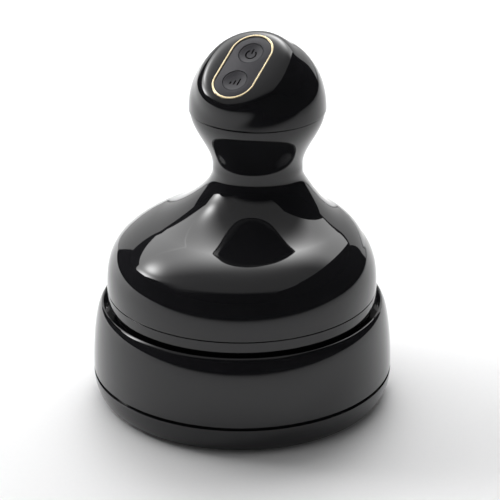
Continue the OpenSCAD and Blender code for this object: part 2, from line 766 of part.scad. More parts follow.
// Floor of the massager: foot ring, skirt, lip, head bearings, screw posts and plate pillars
module bottom_shell() {
  skirt_low = seam_z - seam_gap / 2;
  color("#131315") difference() {
    union() {
      rotate_extrude() polygon([
        [0, plinth_z], [plinth_r - 0.8, plinth_z], [plinth_r, plinth_z + 0.8], [plinth_r, skirt_z],
        [body_r - 0.6, skirt_z], [body_r, skirt_z + 0.6], [body_r, skirt_low], [lip_r, skirt_low],
        [lip_r, seam_z + lip_h], [lip_r - lip_t, seam_z + lip_h], [lip_r - lip_t, skirt_z + wall],
        [plinth_r - wall, skirt_z + wall], [plinth_r - wall, floor_top], [0, floor_top]
      ]);
      translate([0, 0, plinth_z + 1]) {
        four_round(head_ring_r, first_head)
          cylinder(r = head_shaft_d / 2 + bush_t + 2.5, h = floor_t + bush_boss_h - 1);
        cylinder(r = drive_shaft_d / 2 + 3, h = floor_t + bush_boss_h - 1);
        four_round(pillar_ring_r, 0) cylinder(d = post_d, h = lower_plate_z - plinth_z - 1);
        four_round(shell_screw_r, 0) cylinder(d = post_d, h = shell_post_top - plinth_z - 1);
      }
      for (side = [-1, 1]) translate([side * contact_pitch / 2, contact_y, plinth_z + 1])
        cylinder(r = 1.9, h = skirt_z - plinth_z);
    }
    four_round(head_ring_r, first_head) {
      translate([0, 0, plinth_z - over]) cylinder(r = head_shaft_d / 2 + 0.3, h = through);
      translate([0, 0, plinth_z - over]) cylinder(r = head_shaft_d / 2 + seal_w, h = over + seal_h);
      translate([0, 0, plinth_z + bush_lift]) cylinder(r = head_shaft_d / 2 + bush_t + run_fit, h = through);
    }
    translate([0, 0, floor_top - 0.6]) cylinder(r = drive_shaft_d / 2 + run_fit, h = through);
    four_round(pillar_ring_r, 0) translate([0, 0, plate_screw_tip - 0.5])
      cylinder(r = screw_d / 2 + run_fit, h = through);
    four_round(shell_screw_r, 0) {
      translate([0, 0, plinth_z - over]) {
        cylinder(r = screw_d / 2 + screw_pass, h = through);
        cylinder(r = screw_head_d / 2 + screw_pass, h = shell_screw_seat - plinth_z + over);
      }
    }
    for (side = [-1, 1]) translate([side * contact_pitch / 2, contact_y, plinth_z - over]) {
      cylinder(r = contact_pad_r + run_fit, h = contact_t + over);
      cylinder(r = wire_d / 2 + drop_fit, h = through);
    }
    translate([0, 0, seam_z + seal_lift]) ring(lip_r + over, lip_r - seal_groove, seal_t + 0.1);
  }
}

// Round seal in the groove of the lip
module shell_seal() {
  color("#55555a") translate([0, 0, seam_z + seal_lift + 0.05])
    ring(lip_r + 0.1, lip_r - seal_groove + 0.05, seal_t);
}

// Main shell: dome, shoulder, neck and lower half of the head in one piece
module main_shell() {
  outside = [for (p = body_outline) [p[0], lean(p[1]), p[1]]];
  inside = [for (i = [len(body_inline) - 1:-1:0]) let (p = body_inline[i]) [p[0], lean(p[1]), p[1]]];
  rib_low = seam_z + lip_h + 0.5;
  rib_levels = [rib_low, (rib_low + shell_boss_top) / 2, shell_boss_top];
  rib_t = 1.6;
  cap_lip_r = head_r - wall - 0.3;
  color("#0f0f11") difference() {
    union() {
      closed_loft(concat(outside, inside));
      four_round(shell_screw_r, 0) {
        translate([0, 0, shell_post_top]) cylinder(d = post_d, h = shell_boss_top - shell_post_top);
        rotate([90, 0, 0]) translate([0, 0, -rib_t / 2]) linear_extrude(rib_t) polygon(concat(
          [[0, rib_levels[2]], [0, rib_levels[0]]],
          [for (z = rib_levels) [dome_r(z) - wall / 2 - shell_screw_r, z]]
        ));
      }
      translate([0, neck_back, head_z - 3]) ring(cap_lip_r, cap_lip_r - lip_t, cap_lip_h + 3);
    }
    four_round(shell_screw_r, 0) translate([0, 0, shell_post_top - over])
      cylinder(r = screw_d / 2 + run_fit, h = shell_screw_tip + 1 - shell_post_top + over);
  }
}

// Cap of the head, with the slot that holds the button panel
module head_cap() {
  color("#101012") difference() {
    translate([0, neck_back, head_z + seam_gap / 2]) hollow_cap();
    on_panel() translate([0, 0, -through / 2]) linear_extrude(through)
      stadium(panel_l + 2 * trim_fit, panel_w + 2 * trim_fit);
  }
}

// Metal trim round the button panel
module panel_trim() {
  color("#e2cfa4") on_panel() translate([0, 0, 0.1 - trim_t]) linear_extrude(trim_t) difference() {
    stadium(panel_l, panel_w);
    stadium(panel_l - 2 * trim_w, panel_w - 2 * trim_w);
  }
}

// Button panel: a plate with two button holes, side tabs behind the cap, and posts for the switch board
module button_panel() {
  inset = 2 * (trim_w + trim_fit);
  color("#4a4a4e") on_panel() difference() {
    union() {
      translate([0, 0, rim_z]) linear_extrude(panel_rim_h) stadium(panel_l - inset, panel_w - inset);
      for (side = [-1, 1]) {
        translate([side * (panel_w / 2 - tab_w / 4), 0, rim_z - tab_t / 2])
          cube([1.5 * tab_w, tab_l, tab_t], center = true);
        translate([side * (panel_w / 2 - tab_w / 2), 0, rim_z])
          cube([tab_w / 2, tab_l, tab_t / 2], center = true);
        translate([side * panel_post_x, 0, switch_board_z])
          cylinder(r = panel_post_r, h = rim_z - switch_board_z + over);
      }
    }
    for (end = [-1, 1]) translate([0, end * button_pitch / 2, rim_z - over]) {
      cylinder(r = button_d / 2 + drop_fit, h = panel_rim_h + 2 * over);
      cylinder(r = button_d / 2 + button_flange + flange_gap, h = pocket_z - rim_z + over);
    }
  }
}

// Round button with a dished face, a flange that keeps it in, and a stem over its switch
module panel_button(end) {
  dish_r = (pow(button_d / 2 - 0.5, 2) + dish_h * dish_h) / (2 * dish_h);
  top = 0.1;
  color("#3f3f43") on_panel() translate([0, end * button_pitch / 2, 0]) difference() {
    union() {
      translate([0, 0, pocket_z - flange_gap - over])
        cylinder(d = button_d, h = top - pocket_z + flange_gap + over);
      translate([0, 0, pocket_z - flange_gap - flange_h])
        cylinder(r = button_d / 2 + button_flange, h = flange_h);
      translate([0, 0, stem_z]) cylinder(r = stem_r, h = stem_h + over);
    }
    translate([0, 0, top - dish_h + dish_r]) sphere(r = dish_r, $fn = 96);
  }
}

// Board under the panel that carries the two switches
module switch_board() {
  color("#1f5a36") on_panel() translate([0, 0, switch_board_z - board_t]) linear_extrude(board_t)
    stadium(panel_l - 5, panel_w - 4.4);
}

// Two small press switches on that board
module tact_switches() {
  color("#b8b8bb") on_panel() for (end = [-1, 1]) translate([0, end * button_pitch / 2, switch_board_z]) {
    translate([-2.6, -2.6, 0]) cube([5.2, 5.2, switch_h]);
    cylinder(r = 1.4, h = switch_h + plunger_h);
  }
}

// Flat ribbon from the switch board down the rear of the neck to the main board
lead_t = 0.3;
lead_w = 8;
main_board_y = neck_back + battery_r + holder_t + 2;
main_board_z = battery_z + 0.1;
main_board_top = main_board_z + main_board_h;
lead_top = [panel_y + 9 * cos(panel_tilt) - (switch_board_z - board_t - 0.25) * sin(panel_tilt),
            panel_z + 9 * sin(panel_tilt) + (switch_board_z - board_t - 0.25) * cos(panel_tilt)];
lead_route = [
  [main_board_y - lead_t / 2 - 0.05, main_board_top - 4],
  [main_board_y - lead_t / 2 - 0.05, head_z - 4],
  [main_board_y - 1, head_z + 3],
  [main_board_y - 3.6, head_z + 10],
  lead_top + [1.2, -2.4],
  lead_top + [-0.6, -0.3],
  lead_top + [-3.4, -2.2]
];
module switch_lead() {
  n = len(lead_route);
  color("#8a8a90") translate([-lead_w / 2, 0, 0]) rotate([90, 0, 90]) linear_extrude(lead_w) polygon(concat(
    [for (i = [0:n - 1]) lead_route[i] + lead_t / 2 * square_to(lead_route, i)],
    [for (i = [n - 1:-1:0]) lead_route[i] - lead_t / 2 * square_to(lead_route, i)]
  ));
}

// Rechargeable cell inside the neck, with its raised pole
module battery_cell() {
  color("#3f6fa8") translate([0, neck_back, battery_z]) {
    cylinder(d = battery_d, h = battery_l - 1);
    cylinder(r = 3.5, h = battery_l);
  }
}

// Battery holder: a foot on the gear plate, a cradle open to the front, and a fence for the main board
module battery_holder() {
  foot_y = motor_y + motor_r + drop_fit + motor_socket_t + 0.3;
  fence_y = main_board_y + board_t + 0.1;
  fence_h = 8;
  color("#77777c") {
    translate([-main_board_w / 2, foot_y, deck_z])
      cube([main_board_w, fence_y + holder_t - foot_y, holder_foot_t]);
    translate([-main_board_w / 2, fence_y, battery_z - over]) cube([main_board_w, holder_t, fence_h]);
    difference() {
      translate([0, neck_back, battery_z - over])
        tube(battery_r + drop_fit + holder_t, battery_r + drop_fit, cradle_l + over);
      translate([-battery_d, neck_back - 3 - battery_d, battery_z - 2 * over])
        cube([2 * battery_d, battery_d, cradle_l + 3 * over]);
    }
  }
}

// Main circuit board, upright behind the battery
module main_board() {
  color("#1f5a36") translate([-main_board_w / 2, main_board_y, main_board_z])
    cube([main_board_w, board_t, main_board_h]);
  color("#202022") translate([5, main_board_y - 1, main_board_z + 4]) cube([6, 1 + over, 6]);
}

// Metal contacts in the foot ring, which meet the dock's spring contacts
module charge_contacts() {
  color("#d9bb6a") for (side = [-1, 1]) translate([side * contact_pitch / 2, contact_y, plinth_z]) {
    cylinder(r = contact_pad_r, h = contact_t);
    cylinder(d = wire_d, h = plinth_h + 1);
  }
}

// Wires from those contacts up to the main board
module charge_leads() {
  board_back = main_board_y + board_t + 0.6;
  clear_z = main_board_z + 11;
  color("#a33028") for (side = [-1, 1]) wire(side * contact_pitch / 2, [
    [contact_y, skirt_z + 1.05],
    [contact_y, seam_z + 5],
    [lead_y, seam_z + 7],
    [lead_y, clear_z - 3],
    [board_back, clear_z]
  ]);
}

// Four screws that hold the floor to the main shell
module shell_screws() {
  color("#8d9094") four_round(shell_screw_r, 0) screw_up(shell_screw_seat, shell_screw_tip);
}

// ---- Gear train ----

// Lower plate: top bearing of the head shafts
module gear_plate_lower() {
  color("#b4b7ba") translate([0, 0, lower_plate_z]) difference() {
    cylinder(r = plate_r, h = plate_t);
    translate([0, 0, -over]) {
      four_round(head_ring_r, first_head) cylinder(r = head_shaft_d / 2 + run_fit, h = plate_t + 2 * over);
      four_round(pillar_ring_r, 0) cylinder(r = screw_d / 2 + screw_pass, h = plate_t + 2 * over);
      cylinder(r = drive_shaft_d / 2 + 1, h = plate_t + 2 * over);
      translate([compound_x, compound_y, 0])
        cylinder(r = compound_pin_d / 2 + run_fit, h = plate_t + 2 * over);
      four_round(shell_screw_r, 0) cylinder(r = post_d / 2 + plate_pass, h = plate_t + 2 * over);
    }
  }
}

// Upper plate: legs down to the lower plate, bearings of the drive shaft and pin, and the motor's socket
module gear_plate_upper() {
  leg_z = lower_plate_z + plate_t;
  color("#c4c6c8") difference() {
    union() {
      translate([0, 0, upper_plate_z]) cylinder(r = plate_r, h = plate_t);
      four_round(pillar_ring_r, 0) translate([0, 0, leg_z])
        cylinder(d = post_d, h = upper_plate_z - leg_z + over);
      translate([0, motor_y, deck_z - over])
        cylinder(r = motor_r + drop_fit + motor_socket_t, h = motor_socket_h + over);
    }
    translate([0, motor_y, deck_z]) cylinder(r = motor_r + drop_fit, h = motor_socket_h + over);
    translate([0, 0, leg_z - over]) {
      four_round(pillar_ring_r, 0) cylinder(r = screw_d / 2 + screw_pass, h = through);
      cylinder(r = drive_shaft_d / 2 + run_fit, h = upper_plate_z + plate_t / 2 + 0.3 - leg_z + over);
      translate([compound_x, compound_y, 0]) cylinder(r = compound_pin_d / 2 + run_fit, h = through);
      translate([0, motor_y, 0]) cylinder(r = motor_nose_r + drop_fit, h = through);
      four_round(shell_screw_r, 0) cylinder(r = post_d / 2 + plate_pass, h = through);
    }
    for (side = [-1, 1]) translate([
      side * contact_pitch / 2 - notch_w / 2, lead_y - notch_w / 2, upper_plate_z - over
    ]) cube([notch_w, through, plate_t + 2 * over]);
  }
}

// Four long screws through both plates into the pillars
module plate_screws() {
  color("#8d9094") four_round(pillar_ring_r, 0) {
    translate([0, 0, deck_z]) cylinder(d = screw_head_d, h = screw_head_h);
    translate([0, 0, plate_screw_tip]) cylinder(d = screw_d, h = deck_z - plate_screw_tip);
  }
}

// Motor can: a steel pot with a nose in the upper plate
module motor_can() {
  can_t = 1;
  color("#9fa2a6") translate([0, motor_y, 0]) difference() {
    union() {
      translate([0, 0, deck_z]) cylinder(d = motor_d, h = motor_l);
      translate([0, 0, upper_plate_z + 0.1]) cylinder(r = motor_nose_r, h = plate_t);
    }
    translate([0, 0, deck_z + can_t]) cylinder(r = motor_r - can_t, h = motor_l - 2 * can_t);
    translate([0, 0, upper_plate_z - over])
      cylinder(r = motor_shaft_d / 2 + run_fit, h = through);
  }
}

// Rotor: wound core and shaft
module motor_rotor() {
  color("#b06a3a") translate([0, motor_y, deck_z + 2.5]) cylinder(r = motor_r - 3.2, h = motor_l - 5);
  color("#a8abae") translate([0, motor_y, compound_z - 0.2])
    cylinder(d = motor_shaft_d, h = deck_z + motor_l + 0.6 - compound_z);
}

// Pinion on the motor's shaft
module motor_pinion() {
  color("#d8b64c") translate([0, motor_y, compound_z]) rotate([0, 0, to_motor_angle + 180])
    gear(pinion_teeth, fast_module, compound_t, motor_shaft_d / 2 + run_fit / 2);
}

// Compound gear: a large wheel with a small pinion under it
module compound_gear() {
  pinion_h = compound_z - wheel_z;
  color("#e6e2d6") translate([compound_x, compound_y, wheel_z]) difference() {
    union() {
      translate([0, 0, pinion_h]) rotate([0, 0, to_motor_angle + 180 / compound_teeth])
        linear_extrude(compound_t) gear_outline(compound_teeth, fast_module);
      rotate([0, 0, compound_angle + 180])
        linear_extrude(pinion_h + over) gear_outline(pinion_teeth, fast_module);
    }
    translate([0, 0, -over]) cylinder(r = compound_pin_d / 2 + run_fit, h = through);
  }
}

// Pin that the compound gear turns on, held by both plates
module compound_pin() {
  color("#a8abae") translate([compound_x, compound_y, lower_plate_z])
    cylinder(d = compound_pin_d, h = deck_z - lower_plate_z);
}

// Drive wheel on the drive shaft
module drive_wheel() {
  color("#e6e2d6") translate([0, 0, wheel_z]) rotate([0, 0, compound_angle + 180 / wheel_teeth])
    gear(wheel_teeth, fast_module, wheel_t, drive_shaft_d / 2 + run_fit / 2);
}

// Sun gear on the drive shaft, with a gap between its teeth towards each head
module sun_gear() {
  color("#e6e2d6") translate([0, 0, head_gear_z]) rotate([0, 0, first_head + 180 / sun_teeth])
    gear(sun_teeth, head_module, head_gear_t, drive_shaft_d / 2 + run_fit / 2);
}

// Drive shaft, from its boss in the floor to the upper plate
module drive_shaft() {
  color("#a8abae") translate([0, 0, floor_top - 0.5])
    cylinder(d = drive_shaft_d, h = upper_plate_z + plate_t / 2 + 0.2 - floor_top + 0.5);
}

// Bronze bushes of the four head shafts
module shaft_bushes() {
  color("#b5824a") four_round(head_ring_r, first_head) translate([0, 0, plinth_z + bush_lift])
    tube(head_shaft_d / 2 + bush_t, head_shaft_d / 2 + run_fit, floor_t + bush_boss_h - bush_lift + 0.3);
}

// Soft seals that keep water out of the bushes
module shaft_seals() {
  color("#2c2c30") four_round(head_ring_r, first_head) translate([0, 0, plinth_z])
    tube(head_shaft_d / 2 + seal_w - drop_fit, head_shaft_d / 2 + 0.05, seal_h - 0.05);
}

// ---- Massage heads ----

// Places children on the axis of head k
module on_head(k) {
  rotate([0, 0, head_turn(k)]) translate([head_ring_r, 0, 0]) rotate([0, 0, -head_turn(k)]) children();
}

// Gear of head k, with a tooth towards the sun gear
module head_gear(k) {
  color("#e6e2d6") on_head(k) translate([0, 0, head_gear_z]) rotate([0, 0, head_turn(k) + 180])
    gear(head_teeth, head_module, head_gear_t, head_shaft_d / 2 + run_fit / 2);
}

// Shaft of head k, from its carrier through the floor to the lower plate
module head_shaft(k) {
  color("#a8abae") on_head(k) translate([0, 0, carrier_z])
    cylinder(d = head_shaft_d, h = lower_plate_z + plate_t - carrier_z);
}

// Hard disc on the shaft of head k, inside the pad
module finger_carrier(k) {
  color("#6f6f74") on_head(k) translate([0, 0, carrier_z])
    tube(pad_r - pad_wall - drop_fit, head_shaft_d / 2 + run_fit / 2, carrier_t);
}

// Silicone pad of head k: a cap over the carrier with tapered, round-tipped fingers
module finger_pad(k) {
  tip_r = finger_tip_d / 2;
  color("#26262a") on_head(k) {
    difference() {
      translate([0, 0, pad_floor_z]) cylinder(r = pad_r, h = pad_rim_h);
      translate([0, 0, carrier_z]) cylinder(r = pad_r - pad_wall, h = through);
    }
    for (i = [0:finger_count]) rotate([0, 0, 360 * i / finger_count])
      translate([i == finger_count ? 0 : finger_ring_r, 0, 0]) {
        translate([0, 0, tip_z + tip_r])
          cylinder(r1 = tip_r, r2 = finger_root_d / 2, h = pad_floor_z + 0.5 - tip_z - tip_r);
        translate([0, 0, tip_z + tip_r]) sphere(r = tip_r);
      }
  }
}

dock_feet();
dock_base();
dock_deck();
dock_collar();
dock_shell();
dock_seat_pad();
dock_board();
usb_inlet();
dock_contact_barrels();
dock_contact_pin(-1);  // dock_contact_pin_left
dock_contact_pin(1);  // dock_contact_pin_right
dock_leads();
dock_screws();
bottom_shell();
shell_seal();
main_shell();
head_cap();
panel_trim();
button_panel();
panel_button(1);  // power_button
panel_button(-1);  // mode_button
switch_board();
tact_switches();
switch_lead();
battery_cell();
battery_holder();
main_board();
charge_contacts();
charge_leads();
shell_screws();
gear_plate_lower();
gear_plate_upper();
plate_screws();
motor_can();
motor_rotor();
motor_pinion();
compound_gear();
compound_pin();
drive_wheel();
sun_gear();
drive_shaft();
shaft_bushes();
shaft_seals();
head_gear(1);  // head_gear_1
head_gear(2);  // head_gear_2
head_gear(3);  // head_gear_3
head_gear(4);  // head_gear_4
head_shaft(1);  // head_shaft_1
head_shaft(2);  // head_shaft_2
head_shaft(3);  // head_shaft_3
head_shaft(4);  // head_shaft_4
finger_carrier(1);  // finger_carrier_1
finger_carrier(2);  // finger_carrier_2
finger_carrier(3);  // finger_carrier_3
finger_carrier(4);  // finger_carrier_4
finger_pad(1);  // finger_pad_1
finger_pad(2);  // finger_pad_2
finger_pad(3);  // finger_pad_3
finger_pad(4);  // finger_pad_4
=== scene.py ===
"""A handheld scalp massager on its charging dock, dressed for the camera: one section for each piece, in
the order in which the object is put together. Sizes are in millimetres and become metres where a mesh is
made."""
import json
from math import cos, pi, radians, sin

import bmesh
import bpy
import numpy as np
from mathutils import Matrix, Vector

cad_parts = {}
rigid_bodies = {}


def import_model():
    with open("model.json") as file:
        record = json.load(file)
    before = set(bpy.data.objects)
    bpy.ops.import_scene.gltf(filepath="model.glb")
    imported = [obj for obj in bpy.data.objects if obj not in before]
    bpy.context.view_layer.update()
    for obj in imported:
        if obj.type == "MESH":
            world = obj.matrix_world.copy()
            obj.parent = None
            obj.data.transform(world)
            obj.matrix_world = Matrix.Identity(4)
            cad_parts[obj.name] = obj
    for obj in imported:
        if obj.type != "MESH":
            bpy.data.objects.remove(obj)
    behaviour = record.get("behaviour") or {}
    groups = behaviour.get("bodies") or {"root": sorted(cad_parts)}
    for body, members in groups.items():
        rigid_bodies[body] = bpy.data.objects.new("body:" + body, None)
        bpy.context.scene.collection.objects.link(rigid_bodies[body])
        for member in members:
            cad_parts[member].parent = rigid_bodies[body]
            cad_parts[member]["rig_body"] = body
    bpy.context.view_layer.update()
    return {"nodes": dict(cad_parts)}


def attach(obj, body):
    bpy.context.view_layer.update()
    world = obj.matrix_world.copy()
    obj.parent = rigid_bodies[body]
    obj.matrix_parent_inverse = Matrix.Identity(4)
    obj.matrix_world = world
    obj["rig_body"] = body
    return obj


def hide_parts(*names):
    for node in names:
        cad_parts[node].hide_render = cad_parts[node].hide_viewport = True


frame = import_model()


# ---- Camera ----
# A long lens well above the object, in front of it and to its right, as the photograph has it.
# Distance is measured along the floor from the dock's axis.
camera_turn, camera_distance, camera_height = 31.0, 0.900, 0.4602
camera_pitch, camera_yaw, camera_roll = 23.96, 0.206, -0.204
camera_data = bpy.data.cameras.new("camera")
camera_data.sensor_width = 36
camera_data.lens = 181.0
camera = bpy.data.objects.new("camera", camera_data)
camera.matrix_world = (
    Matrix.Translation((camera_distance * sin(radians(camera_turn)),
                        -camera_distance * cos(radians(camera_turn)), camera_height))
    @ Matrix.Rotation(radians(camera_turn - camera_yaw), 4, "Z")
    @ Matrix.Rotation(radians(90 - camera_pitch), 4, "X")
    @ Matrix.Rotation(radians(camera_roll), 4, "Z"))
bpy.context.scene.collection.objects.link(camera)
bpy.context.scene.camera = camera


# ---- Dock base ----
# Lower shell of the dock, moulded in black ABS and polished: a floor, a round side up to the shadow groove,
# and a lip that goes up inside the upper shell. Its underside has pockets for the feet and screws, its rear
# the inlet's opening.
MM = 0.001


def paint(code):
    """Linear red, green, blue and alpha of an sRGB hex colour such as 1c1c1f."""
    s = np.array([int(code[i:i + 2], 16) for i in (0, 2, 4)]) / 255
    return (*np.where(s < 0.04045, s / 12.92, ((s + 0.055) / 1.055) ** 2.4), 1.0)


def add(tree, kind, inputs=None, **options):
    """Adds a shader node: options are set on it, and each input is linked if it is a socket and set if it is
    a value."""
    new = tree.nodes.new("ShaderNode" + kind)
    for key, value in options.items():
        setattr(new, key, value)
    for key, value in (inputs or {}).items():
        if isinstance(value, bpy.types.NodeSocket):
            tree.links.new(value, new.inputs[key])
        else:
            new.inputs[key].default_value = value
    return new


def material(name):
    """An empty material, its node tree, its output node and its Object coordinates."""
    made = bpy.data.materials.new(name)
    made.use_nodes = True
    tree = made.node_tree
    tree.nodes.clear()
    output = tree.nodes.new("ShaderNodeOutputMaterial")
    place = add(tree, "TexCoord").outputs["Object"]
    return made, tree, output, place


def blend(tree, noise, dark, light):
    """The colour that a noise node runs from dark to light."""
    mix = add(tree, "Mix", {"Factor": noise.outputs["Fac"], "A": paint(dark), "B": paint(light)},
              data_type="RGBA")
    return mix.outputs[2]


def mottled(name, dark, light, grain, rough, lift=0.0, **surface):
    """A finish whose noise, with grains of the given size in millimetres, runs the colour from dark to light
    and the roughness over its range, and lifts the face by up to lift millimetres."""
    made, tree, output, place = material(name)
    noise = add(tree, "TexNoise", {"Vector": place, "Scale": 1 / (grain * MM), "Detail": 3.0,
                                   "Roughness": 0.6})
    tone = blend(tree, noise, dark, light)
    gloss = add(tree, "MapRange", {"Value": noise.outputs["Fac"], "From Min": 0.3, "From Max": 0.7,
                                   "To Min": rough[0], "To Max": rough[1]})
    inputs = {"Base Color": tone, "Roughness": gloss.outputs["Result"], **surface}
    if lift:
        bump = add(tree, "Bump", {"Height": noise.outputs["Fac"], "Distance": lift * MM})
        inputs["Normal"] = bump.outputs["Normal"]
    shader = add(tree, "BsdfPrincipled", inputs)
    tree.links.new(shader.outputs["BSDF"], output.inputs["Surface"])
    return made


def soften(points, radii, steps=6):
    """Closed flat outline with its corners rounded. A corner P is cut back by its radius along both sides, to
    A and B, and bridged by (1-t)^2 A + 2t(1-t) P + t^2 B; a point 0.1 mm further out on each side keeps the
    flats flat."""
    p = np.asarray(points, float)
    r = np.asarray(radii, float)[:, None]
    back, ahead = np.roll(p, 1, 0) - p, np.roll(p, -1, 0) - p
    back_l, ahead_l = (np.linalg.norm(v, axis=1, keepdims=True) for v in (back, ahead))
    cut = np.minimum(r, 0.42 * np.minimum(back_l, ahead_l))
    hold = np.where(r > 0, np.minimum(0.1, 0.05 * np.minimum(back_l, ahead_l)), 0)
    a, b = p + back / back_l * cut, p + ahead / ahead_l * cut
    t = np.linspace(0, 1, steps + 1)[None, :, None]
    bridge = (1 - t) ** 2 * a[:, None] + 2 * t * (1 - t) * p[:, None] + t ** 2 * b[:, None]
    lead, trail = a + back / back_l * hold, b + ahead / ahead_l * hold
    rows = np.concatenate([lead[:, None], bridge, trail[:, None]], 1).reshape(-1, 2)
    return rows[np.linalg.norm(rows - np.roll(rows, 1, 0), axis=1) > 1e-6]


def skin(name, grid, loop=False, poles=None, sharp=40):
    """Mesh object through a grid of points in millimetres. Columns close on themselves; rows close too if
    loop is set, and otherwise end in a fan at each of the two poles. Faces are turned outwards by the sign
    of the volume."""
    rows, cols = grid.shape[:2]
    i = np.arange(rows if loop else rows - 1)[:, None]
    j = np.arange(cols)[None, :]
    at = lambda row, col: (row % rows) * cols + col % cols
    faces = np.stack([at(i, j), at(i, j + 1), at(i + 1, j + 1), at(i + 1, j)], -1).reshape(-1, 4)
    points = grid.reshape(-1, 3)
    fans = np.empty((0, 3), int)
    if poles is not None:
        j, n = np.arange(cols), rows * cols
        first = np.stack([np.full(cols, n), (j + 1) % cols, j], -1)
        last = np.stack([np.full(cols, n + 1), at(rows - 1, j), at(rows - 1, j + 1)], -1)
        points, fans = np.vstack([points, poles]), np.vstack([first, last])
    a, b, c = (points[np.vstack([faces[:, :3], faces[:, [0, 2, 3]], fans])[:, k]] for k in range(3))
    faces = faces.tolist() + fans.tolist()
    if np.einsum("ij,ij->", a, np.cross(b, c)) < 0:
        faces = [face[::-1] for face in faces]
    mesh = bpy.data.meshes.new(name)
    mesh.from_pydata((points * MM).tolist(), [], faces)
    mesh.validate()
    mesh.shade_smooth()
    mesh.set_sharp_from_angle(angle=radians(sharp))
    piece = bpy.data.objects.new(name, mesh)
    bpy.context.scene.collection.objects.link(piece)
    return piece


def turned(name, outline, middle=(0, 0), sides=256, sharp=40):
    """A closed outline of [radius, height] turned round an upright axis through middle. Where the outline
    runs along the axis, that stretch is left out and the two ends close in poles."""
    outline = np.asarray(outline, float)
    on_axis = np.flatnonzero(outline[:, 0] < 1e-6)
    if len(on_axis):
        start = on_axis[0] if on_axis[-1] - on_axis[0] == len(outline) - 1 else on_axis[-1]
        outline = np.roll(outline, -start, 0)
        if outline[1, 0] < 1e-6:
            outline = np.roll(outline, -1, 0)
    a = np.linspace(0, 2 * pi, sides, endpoint=False)
    ring = np.stack([np.cos(a), np.sin(a), 0 * a], -1)
    centre = np.array([*middle, 0])
    rows = outline[1:-1] if len(on_axis) else outline
    grid = centre + rows[:, None, :1] * ring + rows[:, None, 1:] * np.array([0, 0, 1])
    ends = centre + np.outer(outline[[0, -1], 1], [0, 0, 1]) if len(on_axis) else None
    return skin(name, grid, loop=not len(on_axis), poles=ends, sharp=sharp)


def quarter(r, w, z, h, steps=48):
    """Quarter ellipse from [r + w, z] to [r, z + h]."""
    a = np.linspace(0, pi / 2, steps)
    return np.stack([r + w * np.cos(a), z + h * np.sin(a)], -1)


def cut_away(piece, cutters, sharp=40):
    """Takes the solids of the cutters out of a piece, and removes them."""
    for cutter in cutters:
        step = piece.modifiers.new("cut", "BOOLEAN")
        step.operation, step.solver, step.object = "DIFFERENCE", "EXACT", cutter
        step.material_mode = "TRANSFER"
    bpy.context.view_layer.update()
    result = bpy.data.meshes.new_from_object(piece.evaluated_get(bpy.context.evaluated_depsgraph_get()))
    piece.modifiers.clear()
    piece.data = result
    result.shade_smooth()
    result.set_sharp_from_angle(angle=radians(sharp))
    for cutter in cutters:
        bpy.data.objects.remove(cutter)


def rod(r, low, high, middle=(0, 0), sides=64):
    """Plain round bar, to cut a hole with."""
    return turned("cutter", [[0, low], [r, low], [r, high], [0, high]], middle, sides)


def round_the_axis(radius, first=0):
    """Four places a quarter turn apart on a circle."""
    a = np.radians(first + 90 * np.arange(4))
    return np.stack([radius * np.cos(a), radius * np.sin(a)], -1)


def stadium(length, width, count=192):
    """Points evenly spaced along an outline with straight sides along Y and round ends, from the middle of
    its right side, with the directions that point out of it."""
    r, straight = width / 2, length - width
    s = np.linspace(0, 2 * straight + 2 * pi * r, count, endpoint=False) + straight / 2
    side = np.floor(s / (straight + pi * r))
    along = s - side * (straight + pi * r)
    turn = np.clip((along - straight) / r, 0, pi)
    x = r * np.cos(turn)
    y = np.minimum(along, straight) - straight / 2 + r * np.sin(turn)
    flip = np.where(side % 2 == 0, 1, -1)
    out = np.stack([np.cos(turn), np.sin(turn)], -1)
    return np.stack([x, y], -1) * flip[:, None], out * flip[:, None]


def stand_in(piece, node, *finishes):
    """The piece is seen in place of a CAD node, which is hidden: it rides on the node's body and takes the
    given finishes in its material slots."""
    while len(piece.data.materials) < len(finishes):
        piece.data.materials.append(None)
    for k, finish in enumerate(finishes):
        piece.data.materials[k] = finish
    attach(piece, frame["nodes"][node]["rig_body"])
    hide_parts(node)


def dress(finish, *nodes):
    """CAD nodes that keep their shape get a finish."""
    for node in nodes:
        for slot in frame["nodes"][node].material_slots:
            slot.material = finish


# Black ABS, polished and lacquered like a piano: a mirror-smooth skin over a deep black, with a trace of the
# soft waviness that moulding leaves (waves of about 7 mm) and a faint haze from wiping.
piano_black, tree, output, place = material("piano_black_lacquered_abs")
haze = add(tree, "TexNoise", {"Vector": place, "Scale": 90.0, "Detail": 4.0, "Roughness": 0.6})
wipe = add(tree, "MapRange", {"Value": haze.outputs["Fac"], "From Min": 0.3, "From Max": 0.75,
                              "To Min": 0.02, "To Max": 0.045})
waves = add(tree, "TexNoise", {"Vector": place, "Scale": 140.0, "Detail": 1.0})
ripple = add(tree, "Bump", {"Height": waves.outputs["Fac"], "Strength": 0.02, "Distance": 0.0004})
depth = blend(tree, haze, "19191b", "1d1d1f")
shader = add(tree, "BsdfPrincipled", {"Base Color": depth, "Roughness": wipe.outputs["Result"], "IOR": 1.52,
                                      "Normal": ripple.outputs["Normal"]})
tree.links.new(shader.outputs["BSDF"], output.inputs["Surface"])

